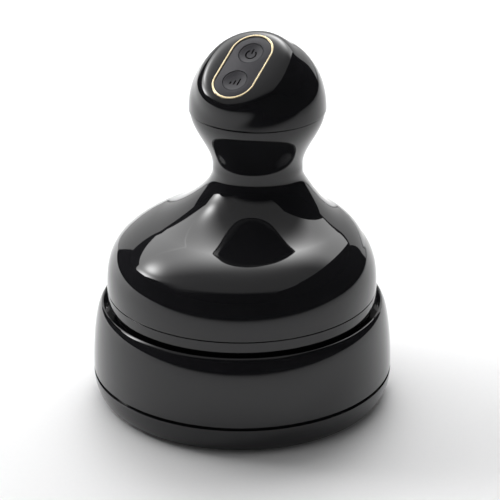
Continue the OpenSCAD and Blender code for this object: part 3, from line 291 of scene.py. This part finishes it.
dock_r, groove_low, groove_high = 59.0, 11.4, 12.6
foot_r, foot_tuck, underside, groove_in = 53.1, 5.9, 0.6, 1.2
dock_wall, lip_t = 2.2, 1.6
lip_out, lip_top = dock_r - dock_wall - 0.15, groove_high + 2
side = quarter(foot_r, foot_tuck, groove_low, underside - groove_low)
corners = [[0, underside + dock_wall], [foot_r - 1, underside + dock_wall],
           [lip_out - lip_t, groove_low - dock_wall], [lip_out - lip_t, lip_top], [lip_out, lip_top],
           [lip_out, groove_high], [dock_r - groove_in, groove_high], [dock_r - groove_in, groove_low]]
outline = np.vstack([corners, side, [[0, underside]]])
radii = np.array([0, 0.6, 0.6, 0.3, 0.3, 0, 0, 0] + [0.35] + [0] * (len(side) - 2) + [0.5] + [0])
dock_base = turned("dock_base_shell", soften(outline, radii))
cup_r, collar_r = 46.0, 50.1
screw_ring, screw_seat, screw_head_r = (cup_r + collar_r) / 2, 3.4, 2.5
pocket_ring, pocket_r, pocket_top = 44.1, 5.1, 1.2
inlet_z, mouth_l, mouth_w, mouth_ends = 6.83, 9.34, 3.66, (51, 62)
cutters = [rod(screw_head_r, -1, screw_seat, at) for at in round_the_axis(screw_ring, 45)]
cutters += [rod(pocket_r, -1, pocket_top, at) for at in round_the_axis(pocket_ring)]
mouth, _ = stadium(mouth_l, mouth_w, 96)
rows = [np.stack([mouth[:, 1], 0 * mouth[:, 0] + y, mouth[:, 0] + inlet_z], -1) for y in mouth_ends]
cutters.append(skin("cutter", np.stack(rows), poles=[[0, y, inlet_z] for y in mouth_ends]))
cut_away(dock_base, cutters)
stand_in(dock_base, "dock_base", piano_black)


# ---- Deck and collar of the dock ----
# A round plate over the circuit is the floor of the cup. The thick ring on it is the cup's wall and carries
# the ledge that the massager stands on; both are moulded in the same polished ABS, and four screws from below
# clamp them.
recess_r, recess_z, ledge_z, flange_t = 51.2, 37.8, 35.0, 1.1
cup_floor, flange_r = 13.2, recess_r - 0.1
corners = [[cup_r, cup_floor], [collar_r, cup_floor], [collar_r, ledge_z - flange_t],
           [flange_r, ledge_z - flange_t], [flange_r, ledge_z], [cup_r, ledge_z]]
dock_collar = turned("dock_collar_ring", soften(corners, [0.4, 0.4, 0, 0.2, 0.3, 0.5]))
contact_y, barrel_hole = 47.588, 1.33
contact_places = [(x, contact_y) for x in (-4.5, 4.5)]
cut_away(dock_collar, [rod(barrel_hole, ledge_z - 2, ledge_z + 1, at, 32) for at in contact_places])
stand_in(dock_collar, "dock_collar", piano_black)
dress(piano_black, "dock_deck")


# ---- Dock shell ----
# Upper shell of the dock in the same polished ABS: a bulging wall that rolls over into a sloping rim, and a
# recess that centres the massager, with the shoulder that the collar's flange holds down.
rim_r, dock_top = 54.65, 40.1
shoulder_r, shoulder_low = collar_r + 0.1, ledge_z - flange_t - 1.5
wall_side = quarter(rim_r, dock_r - rim_r, groove_high, dock_top - groove_high)
corners = [[recess_r, recess_z], [recess_r, ledge_z - flange_t], [shoulder_r, ledge_z - flange_t],
           [shoulder_r, shoulder_low], [dock_r - dock_wall, (groove_high + dock_top) / 2],
           [dock_r - dock_wall, groove_high]]
radii = [0.35] + [0] * (len(wall_side) - 2) + [0.5] + [0.4, 0.2, 0.2, 0.3, 1, 0.2]
dock_shell = turned("dock_upper_shell", soften(np.vstack([wall_side, corners]), radii))
stand_in(dock_shell, "dock_shell", piano_black)


# ---- Dock fittings ----
# What is screwed or pressed into the dock: rubber feet and seat ring, the charging circuit with its
# nickel-plated socket, two gold-plated spring contacts, their wires, and the screws.
soft_rubber = mottled("moulded_black_rubber", "1b1b1d", "2a2a2d", 0.35, (0.62, 0.78), 0.02, IOR=1.5)
circuit_lacquer = mottled("green_solder_lacquer", "123f26", "1c5a35", 0.6, (0.28, 0.42), 0.01, IOR=1.55)
gold_plating = mottled("gold_plated_brass", "d9b35c", "ecd08a", 0.25, (0.14, 0.26), Metallic=1.0)
nickel_plating = mottled("nickel_plated_steel", "b4b3b0", "cfcecb", 0.2, (0.20, 0.34), Metallic=1.0)
wire_silicone = mottled("red_wire_silicone", "7c1712", "94241c", 0.5, (0.42, 0.55), IOR=1.45)
dress(soft_rubber, "dock_feet", "dock_seat_pad")
dress(circuit_lacquer, "dock_board")
dress(nickel_plating, "usb_inlet", "dock_screws")
dress(gold_plating, "dock_contact_barrels", "dock_contact_pin_left", "dock_contact_pin_right")
dress(wire_silicone, "dock_leads")


# ---- Bottom shell of the massager ----
# Floor of the massager in polished ABS: the foot ring that stands in the dock, the skirt whose step shows
# above the rim, and the openings for the head shafts, screws and charging contacts.
plinth_z, plinth_r, floor_top = 36.0, 50.0, 38.4
skirt_z, seam_z, body_r = 40.9, 45.6, 53.0
body_wall, seam_half = 2.2, 0.1
lip_r, lip_top = body_r - body_wall - 0.35, seam_z + 3.4
outline = [[0, plinth_z], [plinth_r, plinth_z], [plinth_r, skirt_z], [body_r, skirt_z],
           [body_r, seam_z - seam_half], [lip_r, seam_z - seam_half], [lip_r, lip_top],
           [lip_r - lip_t, lip_top], [lip_r - lip_t, skirt_z + body_wall],
           [plinth_r - body_wall, skirt_z + body_wall], [plinth_r - body_wall, floor_top], [0, floor_top]]
radii = [0, 0.9, 0.4, 0.7, 0.18, 0.1, 0.3, 0.3, 0.3, 0.5, 0.5, 0]
bottom_shell = turned("bottom_shell_skirt", soften(outline, radii))
head_ring, shaft_hole, bush_r, seal_r, shell_screw_ring = 28.0, 2.8, 4.03, 4.7, 44
cutters = [rod(bush_r, plinth_z + 1.6, floor_top + 1, at) for at in round_the_axis(head_ring, 45)]
cutters += [rod(shaft_hole, plinth_z - 1, floor_top + 1, at) for at in round_the_axis(head_ring, 45)]
cutters += [rod(seal_r, plinth_z - 1, plinth_z + 1, at) for at in round_the_axis(head_ring, 45)]
cutters += [rod(screw_head_r, plinth_z - 1, plinth_z + 1.9, at) for at in round_the_axis(shell_screw_ring)]
cutters += [rod(barrel_hole, plinth_z - 1, plinth_z + 0.8, at, 32) for at in contact_places]
cut_away(bottom_shell, cutters)
stand_in(bottom_shell, "bottom_shell", piano_black)


# ---- Massage heads ----
# Four silicone pads, cast over hard discs on steel shafts: a shallow cap with seven tapered fingers that have
# round tips and fillets at their roots. Silicone is matte and holds a fine cast texture.
silicone = mottled("cast_black_silicone", "18181a", "232326", 0.25, (0.48, 0.62), 0.006, IOR=1.43)
nylon = mottled("moulded_grey_nylon", "6a6a6e", "7b7b80", 0.4, (0.45, 0.6), 0.01, IOR=1.53)
ground_steel = mottled("ground_steel", "a9abae", "c6c8ca", 0.15, (0.12, 0.24), Metallic=1.0)
pad_r, pad_wall, pad_low, pad_rim, carrier_z = 16.0, 0.7, 29.5, 34.5, 31.5
finger_tip_z, tip_r, root_r, finger_ring, root_fillet = 15.2, 2.2, 3.2, 10.8, 0.9
finger_top = pad_low + 0.4
corners = [[0, pad_low], [pad_r, pad_low], [pad_r, pad_rim], [pad_r - pad_wall, pad_rim],
           [pad_r - pad_wall, carrier_z], [0, carrier_z]]
pad_outline = soften(corners, [0, 1.4, 0.25, 0.25, 0.4, 0])
turn = np.linspace(0, pi / 2 - 0.07, 14)
tip = np.stack([tip_r * np.sin(turn), finger_tip_z + tip_r * (1 - np.cos(turn))], -1)
rise = np.linspace(0, 1, 24)[:, None]
flank = (1 - rise) * [tip_r, finger_tip_z + tip_r] + rise * [root_r, pad_low - root_fillet]
turn = np.linspace(0, pi / 2, 9)[1:]
fillet = np.stack([root_r + root_fillet * (1 - np.cos(turn)), pad_low - root_fillet * (1 - np.sin(turn))], -1)
finger_outline = np.vstack([tip, flank, fillet, [[root_r + root_fillet, finger_top], [0, finger_top]]])
around = np.radians(60 * np.arange(6))
fingers = [(0, 0)] + [(finger_ring * cos(a), finger_ring * sin(a)) for a in around]
for k, (x, y) in enumerate(round_the_axis(head_ring, 45), 1):
    whole = bmesh.new()
    for shell in [turned("cap", pad_outline, (x, y), 192)] + [
            turned("finger", finger_outline, (x + dx, y + dy), 48) for dx, dy in fingers]:
        whole.from_mesh(shell.data)
        bpy.data.objects.remove(shell)
    mesh = bpy.data.meshes.new(f"silicone_pad_{k}")
    whole.to_mesh(mesh)
    whole.free()
    mesh.shade_smooth()
    mesh.set_sharp_from_angle(angle=radians(50))
    pad = bpy.data.objects.new(f"silicone_pad_{k}", mesh)
    bpy.context.scene.collection.objects.link(pad)
    stand_in(pad, f"finger_pad_{k}", silicone)
    dress(nylon, f"finger_carrier_{k}")
    dress(ground_steel, f"head_shaft_{k}")


# ---- Works inside the massager ----
# Gear train of acetal wheels on steel shafts between two aluminium plates, a small motor with a brass
# pinion, the cell in its sleeve, boards, wires and seals. They are dressed for whoever takes the massager
# apart.
acetal = mottled("moulded_white_acetal", "ded9cc", "ebe7dc", 0.5, (0.32, 0.44), IOR=1.48)
aluminium = mottled("stamped_aluminium", "bfc1c4", "d2d4d6", 0.2, (0.28, 0.42), Metallic=1.0)
copper = mottled("enamelled_copper_winding", "a4552b", "c97b45", 0.3, (0.24, 0.36), Metallic=1.0)
brass = mottled("cut_brass", "c8a24e", "dcbb6c", 0.15, (0.16, 0.28), Metallic=1.0)
bronze = mottled("sintered_bronze", "8f6539", "ab7d4a", 0.12, (0.42, 0.58), 0.01, Metallic=1.0)
sleeve = mottled("blue_shrink_sleeve", "2b568c", "3668a4", 2.0, (0.22, 0.32), 0.03, IOR=1.52)
ribbon = mottled("polyester_ribbon", "808087", "94949b", 0.8, (0.3, 0.42), IOR=1.57)
dress(acetal, "compound_gear", "drive_wheel", "sun_gear", *(f"head_gear_{k}" for k in range(1, 5)))
dress(aluminium, "gear_plate_lower", "gear_plate_upper")
dress(ground_steel, "compound_pin", "drive_shaft")
dress(nickel_plating, "tact_switches", "shell_screws", "plate_screws", "motor_can")
dress(copper, "motor_rotor")
dress(brass, "motor_pinion")
dress(bronze, "shaft_bushes")
dress(soft_rubber, "shell_seal", "shaft_seals")
dress(sleeve, "battery_cell")
dress(nylon, "battery_holder")
dress(circuit_lacquer, "main_board", "switch_board")
dress(ribbon, "switch_lead")
dress(gold_plating, "charge_contacts")
dress(wire_silicone, "charge_leads")


# ---- Main shell ----
# Dome, shoulder, neck and lower half of the grip in one polished moulding. Level circles are stacked: their
# radius follows a squared ellipse, a sweep and a flare, and their middles lean to the rear on the way up.
dome_h, dome_power = 30.5, 2.9
shoulder_z, shoulder_pull, neck_pull = 71.9, 11.75, 5.0
neck_r, neck_back, neck_low, flare_z = 17.7, 12.4, 90.5, 93.1
head_r, head_z, cap_step = 26.8, 115.6, 0.5
lean_low, lean_h, lean_power = seam_z + 18.6, 21.2, 0.67


def ease(u):
    """0 below 0, 1 above 1, and 3u^2 - 2u^3 between."""
    u = np.clip(u, 0, 1)
    return u * u * (3 - 2 * u)


def dome_radius(z):
    """Radius of the dome: the ellipse (r/R)^p + (z/h)^p = 1 with the power p."""
    return body_r * (1 - (np.maximum(z - seam_z, 0) / dome_h) ** dome_power) ** (1 / dome_power)


def lean(z):
    """Distance of a circle's middle behind the dome's axis."""
    return neck_back * ease((z - lean_low) / lean_h) ** lean_power


def carried(outline, middle_y, sides=256):
    """Grid of level circles: one for each [radius, height] of an outline, its middle at the given distance
    back."""
    a = np.linspace(0, 2 * pi, sides, endpoint=False)
    x = outline[:, :1] * np.cos(a)
    y = middle_y[:, None] + outline[:, :1] * np.sin(a)
    return np.stack([x, y, np.broadcast_to(outline[:, 1:], x.shape)], -1)


seam_round = 0.25
climb = np.linspace(0, pi / 2, 60, endpoint=False)
dome_low = seam_z + seam_half + seam_round
dome_z = dome_low + (shoulder_z - dome_low) * np.sin(climb)
dome = np.stack([dome_radius(dome_z), dome_z], -1)
slope = (dome_radius(shoulder_z + 0.1) - dome_radius(shoulder_z - 0.1)) / 0.2
leave = np.array([slope, 1]) / np.hypot(slope, 1)
a, d = np.array([dome_radius(shoulder_z), shoulder_z]), np.array([neck_r, neck_low])
b, c = a + shoulder_pull * leave, d - [0, neck_pull]
t = np.linspace(0, 1, 60)[:, None]
sweep = (1 - t) ** 3 * a + 3 * (1 - t) ** 2 * t * b + 3 * (1 - t) * t ** 2 * c + t ** 3 * d
flare_h = np.linspace(flare_z, head_z - seam_half - seam_round, 50)
opened = ease((flare_h - flare_z) / (head_z - flare_z))
flare = np.stack([neck_r + (head_r - cap_step - neck_r) * opened, flare_h], -1)
outside = np.vstack([dome, sweep, flare])
along = np.gradient(outside, axis=0)
inward = np.stack([-along[:, 1], along[:, 0]], -1) / np.linalg.norm(along, axis=1)[:, None]
inside = outside + body_wall * inward
inside[0], inside[-1] = outside[0] - [body_wall, 0], outside[-1] - [body_wall, 0]
turn = np.linspace(0, pi / 2, 6)[1:]
top_edge = outside[-1] + seam_round * np.stack([np.cos(turn) - 1, np.sin(turn)], -1)
low_edge = outside[0] + seam_round * np.stack([np.cos(turn[::-1]) - 1, -np.sin(turn[::-1])], -1)
section = np.vstack([low_edge, outside, top_edge, inside[::-1]])
main_shell = skin("main_shell_dome", carried(section, lean(section[:, 1])), loop=True)
stand_in(main_shell, "main_shell", piano_black)


# ---- Cap of the grip ----
# Upper half of the ball, polished ABS, with a slot for the button panel. The ball is flattened softly towards
# the panel, and swells near it so that its face runs up flush to the trim.
head_h, head_power, flatness = 29.0, 2.1, 7.4
panel_l, panel_w, panel_tilt = 32.4, 17.7, radians(31)
panel_dist, panel_shift = 23.25, 1.1
swell, swell_reach, near_flatness = 0.062, 10.0, 20.0
head_centre = np.array([0, neck_back, head_z])
panel_up = np.array([0, cos(panel_tilt), sin(panel_tilt)])
panel_out = np.array([0, -sin(panel_tilt), cos(panel_tilt)])
panel_middle = head_centre + panel_dist * panel_out + panel_shift * panel_up


def on_panel(x, y, z):
    """Points given across, up and out of the button panel's face."""
    x, y, z = (v[..., None] for v in np.broadcast_arrays(x, y, z))
    return panel_middle + x * np.array([1, 0, 0]) + y * panel_up + z * panel_out


def cap_radius(d):
    """Distance of the cap's face from the middle of the seam along unit directions d: a squared ball joined
    to the panel's plane by the soft minimum (b^-f + p^-f)^(-1/f). Near the trim the ball swells and f grows,
    both by exp(-(o/reach)^2) of the distance o from the trim, so that the face meets the plane there."""
    level, rise = np.hypot(d[..., 0], d[..., 1]) / head_r, np.maximum(d[..., 2], 0) / head_h
    ball = (level ** head_power + rise ** head_power) ** (-1 / head_power)
    plane = panel_dist / np.maximum(d @ panel_out, 0.1)
    up = np.maximum(np.abs(plane * (d @ panel_up) - panel_shift) - (panel_l - panel_w) / 2, 0)
    outside = np.hypot(plane * d[..., 0], up) - panel_w / 2
    near = np.exp(-(np.maximum(outside, 0) / swell_reach) ** 2)
    ball, f = ball * (1 + swell * near), flatness + (near_flatness - flatness) * near
    return (ball ** -f + plane ** -f) ** (-1 / f)


def between(a, b, t):
    """Unit directions that turn evenly from a to b as t goes from 0 to 1."""
    a, b = (v / np.linalg.norm(v, axis=-1, keepdims=True) for v in (a, b))
    angle = np.arccos(np.clip((a * b).sum(-1, keepdims=True), -1, 1))
    return (np.sin((1 - t) * angle) * a + np.sin(t * angle) * b) / np.sin(angle)


cap_sides = 384
slot, _ = stadium(panel_l + 0.1, panel_w + 0.1, cap_sides)
spin = np.linspace(0, 2 * pi, cap_sides, endpoint=False)
ring = np.stack([np.cos(spin), np.sin(spin), 0 * spin], -1)
cap_centre = head_centre + [0, 0, seam_half]
edge_climb = np.array([0, 0, seam_round / head_r])
rows = []
for sunk, steps in ((0, 110), (body_wall, 50)):
    start = on_panel(slot[:, 0], slot[:, 1], -sunk) - cap_centre
    t = np.linspace(0, 1, steps)[:, None, None] ** 1.5
    directions = between(start[None], (ring + edge_climb)[None], t)
    rows.append(cap_centre + directions * (cap_radius(directions) - sunk)[..., None])
outer, inner = rows
turn = np.linspace(0, pi / 2, 6)[1:, None, None]
edge = (cap_centre + ring * (head_r - seam_round + seam_round * np.cos(turn)) + [0, 0, seam_round]
        - [0, 0, 1] * (seam_round * np.sin(turn)))
head_cap = skin("grip_cap", np.concatenate([outer, edge, inner[::-1]]), loop=True, sharp=50)
stand_in(head_cap, "head_cap", piano_black)


# ---- Trim line ----
# Thin metal frame round the panel, stamped and anodised in pale champagne, its front edges broken by the
# polish.
champagne, tree, output, place = material("champagne_anodised_aluminium")
grain = add(tree, "TexNoise", {"Vector": place, "Scale": 2500.0, "Detail": 2.0})
polish = add(tree, "MapRange", {"Value": grain.outputs["Fac"], "To Min": 0.16, "To Max": 0.30})
gold = blend(tree, grain, "f3e6c8", "e3cc9c")
shader = add(tree, "BsdfPrincipled", {"Base Color": gold, "Metallic": 1.0,
                                      "Roughness": polish.outputs["Result"]})
tree.links.new(shader.outputs["BSDF"], output.inputs["Surface"])

trim_w, trim_t, trim_top = 0.8, 1.9, 0.1
section = soften([[-trim_w, trim_top - trim_t], [0, trim_top - trim_t], [0, trim_top], [-trim_w, trim_top]],
                 [0.05, 0.05, 0.22, 0.22])
path, out = stadium(panel_l, panel_w, 256)
flat = path[None] + section[:, :1, None] * out[None]
panel_trim = skin("panel_trim_line", on_panel(flat[..., 0], flat[..., 1], section[:, 1:]), loop=True)
stand_in(panel_trim, "panel_trim", champagne)


# ---- Button panel ----
# Moulded plate in the trim with two round holes, its face in a fine satin charcoal paint.
charcoal = mottled("charcoal_satin_paint", "323135", "49484d", 0.3, (0.42, 0.5), 0.012,
                   **{"IOR": 1.5, "Specular IOR Level": 0.22})
plate_top, plate_low, button_r, button_pitch = -0.2, -3.2, 4.9, 14.0
hole_top, hole_low, pocket_floor = plate_top + 1, plate_low - 1, -2.0
inset = 2 * (trim_w + 0.05)
path, out = stadium(panel_l - inset, panel_w - inset, 192)
levels = np.array([[0, plate_low], [0, plate_top - 0.15], [-0.05, plate_top - 0.05], [-0.15, plate_top]])
flat = path[None] + levels[:, :1, None] * out[None]
plate = skin("button_plate", on_panel(flat[..., 0], flat[..., 1], levels[:, 1:]),
             poles=[on_panel(0, 0, plate_low), on_panel(0, 0, plate_top)])
holes = []
a = np.linspace(0, 2 * pi, 96, endpoint=False)[None]
for middle in (-button_pitch / 2, button_pitch / 2):
    for r, high in ((button_r + 0.1, hole_top), (button_r + 1.1, pocket_floor)):
        tube = on_panel(r * np.cos(a), middle + r * np.sin(a), np.array([[hole_low], [high]]))
        ends = [on_panel(0, middle, z) for z in (hole_low, high)]
        holes.append(skin("cutter", tube, poles=ends))
cut_away(plate, holes)
stand_in(plate, "button_panel", charcoal)


# ---- Buttons ----
# Two round keys with dished faces in the same satin paint, with a mark sunk into each: the standard power
# mark on the upper one and three rising bars on the lower one. The sunk faces of the marks are painted near
# black as painted shade in the recesses.
key_paint = mottled("charcoal_key_paint", "2a292d", "3e3d42", 0.3, (0.38, 0.46), 0.01,
                    **{"IOR": 1.5, "Specular IOR Level": 0.22})
# Near-black, low-gloss paint on the sunk faces of the marks: painted shade in the recesses.
mark_shade_paint = mottled("sunk_mark_painted_shade", "060607", "0c0c0d", 0.3, (0.5, 0.6), **{"Specular IOR Level": 0.1})
dish, key_top, flange, face_edge = 0.45, -0.4, 0.8, 0.5
flange_top, flange_low, stem_r, stem_low = -2.3, -3.3, 1.5, -4.4
stroke_w, mark_low, mark_high = 0.62, key_top - dish - 0.3, 0.6


def stroke(path, middle):
    """Bar of the mark's width along a flat path on a key, from under the key's dish to over it."""
    path = np.asarray(path, float)
    along = np.gradient(path, axis=0)
    across = np.stack([-along[:, 1], along[:, 0]], -1) / np.linalg.norm(along, axis=1)[:, None] * stroke_w / 2
    left, right = path + across, path - across
    x = np.stack([left[:, 0], left[:, 0], right[:, 0], right[:, 0]], -1)
    y = np.stack([left[:, 1], left[:, 1], right[:, 1], right[:, 1]], -1) + middle
    grid = on_panel(x, y, np.array([mark_low, mark_high, mark_high, mark_low]))
    bar = skin("cutter", grid, poles=[grid[0].mean(0), grid[-1].mean(0)])
    # The bar's faces carry the painted shade into the mark's recess.
    bar.data.materials.append(mark_shade_paint)
    return bar


turn = np.radians(np.linspace(128, 412, 40))
ring_r, ring_drop, bar_pitch = 2.05, 0.2, 1.6
power_mark = [np.stack([ring_r * np.cos(turn), ring_r * np.sin(turn) - ring_drop], -1), [[0, 0.2], [0, 2.5]]]
bars_mark = [[[x, -1.6], [x, top]] for x, top in ((-bar_pitch, -0.5), (0, 0.5), (bar_pitch, 1.6))]
dish_r = ((button_r - face_edge) ** 2 + dish ** 2) / (2 * dish)
r = np.linspace(0, button_r - face_edge, 30)
face = np.stack([r, key_top - dish + dish_r - np.sqrt(dish_r ** 2 - r ** 2)], -1)
rest = [[button_r, key_top], [button_r, flange_top], [button_r + flange, flange_top],
        [button_r + flange, flange_low], [stem_r, flange_low], [stem_r, stem_low], [0, stem_low]]
outline = soften(np.vstack([face, rest]), [0] * 29 + [0.2] + [0.3, 0.1, 0.1, 0.1, 0.1, 0.1, 0])
outline = outline[outline[:, 0] > 1e-6]
for node, middle, mark in (("power_button", button_pitch / 2, power_mark),
                           ("mode_button", -button_pitch / 2, bars_mark)):
    grid = on_panel(outline[:, :1] * np.cos(a), middle + outline[:, :1] * np.sin(a), outline[:, 1:])
    ends = [on_panel(0, middle, face[0, 1]), on_panel(0, middle, stem_low)]
    key = skin(node + "_key", grid, poles=ends)
    key.data.materials.append(key_paint)
    cut_away(key, [stroke(path, middle) for path in mark])
    # The key's second slot holds the painted shade of its mark.
    stand_in(key, node, key_paint, mark_shade_paint)


# ---- Studio ----
# Pale paper floor under a large soft panel, brightest behind the object and at its left, in a dark room that
# is open to white behind. The room shows only in gloss. All of it is laid out in metres, turned to face the
# camera.
floor_paint, tree, output, place = material("pale_floor_paper")
fibre = add(tree, "TexNoise", {"Vector": place, "Scale": 600.0, "Detail": 2.0})
shader = add(tree, "BsdfDiffuse", {"Color": blend(tree, fibre, "f6f6f7", "f9f9f9")})
tree.links.new(shader.outputs["BSDF"], output.inputs["Surface"])

room_paint, tree, output, place = material("dark_room_cloth")
shader = add(tree, "BsdfDiffuse", {"Color": paint("1c1c1e")})
tree.links.new(shader.outputs["BSDF"], output.inputs["Surface"])

fading_cloth, tree, output, place = material("dark_room_cloth_fading_in")
shader = add(tree, "BsdfDiffuse", {"Color": paint("1c1c1e")})
cover = add(tree, "Attribute", attribute_name="cover")
shader = add(tree, "MixShader", {0: cover.outputs["Fac"], 1: add(tree, "BsdfTransparent").outputs[0],
                                 2: shader.outputs["BSDF"]})
tree.links.new(shader.outputs[0], output.inputs["Surface"])

panel_glow, tree, output, place = material("soft_panel")
level = add(tree, "Attribute", attribute_name="glow")
shader = add(tree, "Emission", {"Color": (1, 1, 1, 1), "Strength": level.outputs["Fac"]})
tree.links.new(shader.outputs[0], output.inputs["Surface"])


def stage_sheet(name, x, y, z, finish, hidden=()):
    """Open sheet through grids of x, y and z in metres, seen from the camera as right, away and up. It is
    left out of the kinds of ray that are named as hidden."""
    grid = np.stack(np.broadcast_arrays(x, y, z), -1)
    rows, cols = grid.shape[:2]
    i, j = np.mgrid[:rows - 1, :cols - 1]
    faces = np.stack([i * cols + j, i * cols + j + 1, (i + 1) * cols + j + 1, (i + 1) * cols + j], -1)
    mesh = bpy.data.meshes.new(name)
    mesh.from_pydata(grid.reshape(-1, 3).tolist(), [], faces.reshape(-1, 4).tolist())
    mesh.materials.append(finish)
    piece = bpy.data.objects.new(name, mesh)
    piece.rotation_euler.z = radians(camera_turn)
    for kind in hidden:
        setattr(piece, "visible_" + kind, False)
    bpy.context.scene.collection.objects.link(piece)
    return piece


def set_points(piece, name, values):
    """Stores one number for each point of a sheet, for its material to read."""
    rows = piece.data.attributes.new(name, "FLOAT", "POINT")
    rows.data.foreach_set("value", values.ravel().astype(np.float32))


ends = np.array([-1.0, 1.0])
gloss_only = ("camera", "diffuse", "transmission", "shadow", "volume_scatter")
stage_sheet("floor", 4 * ends[None], 4 * ends[:, None], 0.0, floor_paint)
room_r, room_h, room_rear, floor_front, floor_fade = 2.0, 1.05, 1.62, 0.26, 0.4
near_floor = np.linspace(-room_r, -floor_front, 60)[:, None]
room_floor = stage_sheet("room_floor", room_r * ends[None], near_floor, 0.001, fading_cloth, gloss_only)
set_points(room_floor, "cover", ease((-near_floor - floor_front) / floor_fade) + 0 * ends)
ceiling_ends = np.array([[-room_r], [room_rear]])
stage_sheet("room_ceiling", room_r * ends[None], ceiling_ends, room_h, room_paint, gloss_only)
wall_turn, wall_ends = np.radians(np.linspace(-145, 137, 80))[None], np.array([[0.001], [room_h]])
stage_sheet("room_wall", room_r * np.sin(wall_turn), -room_r * np.cos(wall_turn), wall_ends, room_paint,
            gloss_only)



def spot(level, right, back, width, depth):
    """A soft bright place on the panel: its level, where its middle is and how far it spreads each way."""
    return level * np.exp(-(((x - right) / width) ** 2 + ((away - back) / depth) ** 2))


panel_near, panel_far, panel_h = -0.85, 1.42, 1.0
away = np.linspace(panel_near, panel_far, 150)[:, None]
left_edge = np.where(away < 0.85, -1.4 - 0.5 * ease(away / 0.4), -1.0 + 0.67 * (away - 0.85))
right_edge = 0.56 + 0.45 * np.maximum(away + 0.05, 0)
x = left_edge + (right_edge - left_edge) * np.linspace(0, 1, 150)[None]
front = 0.42 * ease((away + 0.9) / 0.5) * ease((x + 1.6) / 0.8)
rear = 2.3 * ease((away - 0.25) / 0.4)
spots = spot(9.0, 0.08, 0.72, 0.27, 0.27) + spot(9.0, -0.76, 0.56, 0.14, 0.14)
left_lamp = spot(13.0, -1.62, 0.4, 0.55, 0.27)
panel = stage_sheet("soft_panel", x, away, panel_h, panel_glow, ("camera", "shadow"))
set_points(panel, "glow", front + rear + spots + left_lamp)

# One soft lamp above and behind adds to the panel's light and draws the shadow to the front. It shows in no
# gloss.
lamp_data = bpy.data.lights.new("rear_lamp", "AREA")
lamp_data.shape, lamp_data.size, lamp_data.energy = "DISK", 1.0, 1.5
lamp = bpy.data.objects.new("rear_lamp", lamp_data)
turn_to_camera = Matrix.Rotation(radians(camera_turn), 3, "Z")
lamp.location = turn_to_camera @ Vector((-0.35, 0.75, 1.3))
lamp.rotation_euler = (-lamp.location).to_track_quat("-Z", "Y").to_euler()
lamp.visible_glossy = False
bpy.context.scene.collection.objects.link(lamp)

bpy.context.scene.view_settings.view_transform = "Standard"
world = bpy.data.worlds.new("studio")
bpy.context.scene.world = world
world.use_nodes = True
tree = world.node_tree
tree.nodes.clear()
path_kind = add(tree, "LightPath")
seen = add(tree, "Math", {0: path_kind.outputs["Is Camera Ray"], 1: path_kind.outputs["Is Glossy Ray"]},
           operation="MAXIMUM")
seen = add(tree, "Math", {0: seen.outputs[0], 1: path_kind.outputs["Is Transmission Ray"]},
           operation="MAXIMUM")
fill = 0.18
strength = add(tree, "MapRange", {"Value": seen.outputs[0], "To Min": fill, "To Max": 1.0})
sky = add(tree, "Background", {"Color": (1, 1, 1, 1), "Strength": strength.outputs["Result"]})
output = tree.nodes.new("ShaderNodeOutputWorld")
tree.links.new(sky.outputs[0], output.inputs["Surface"])
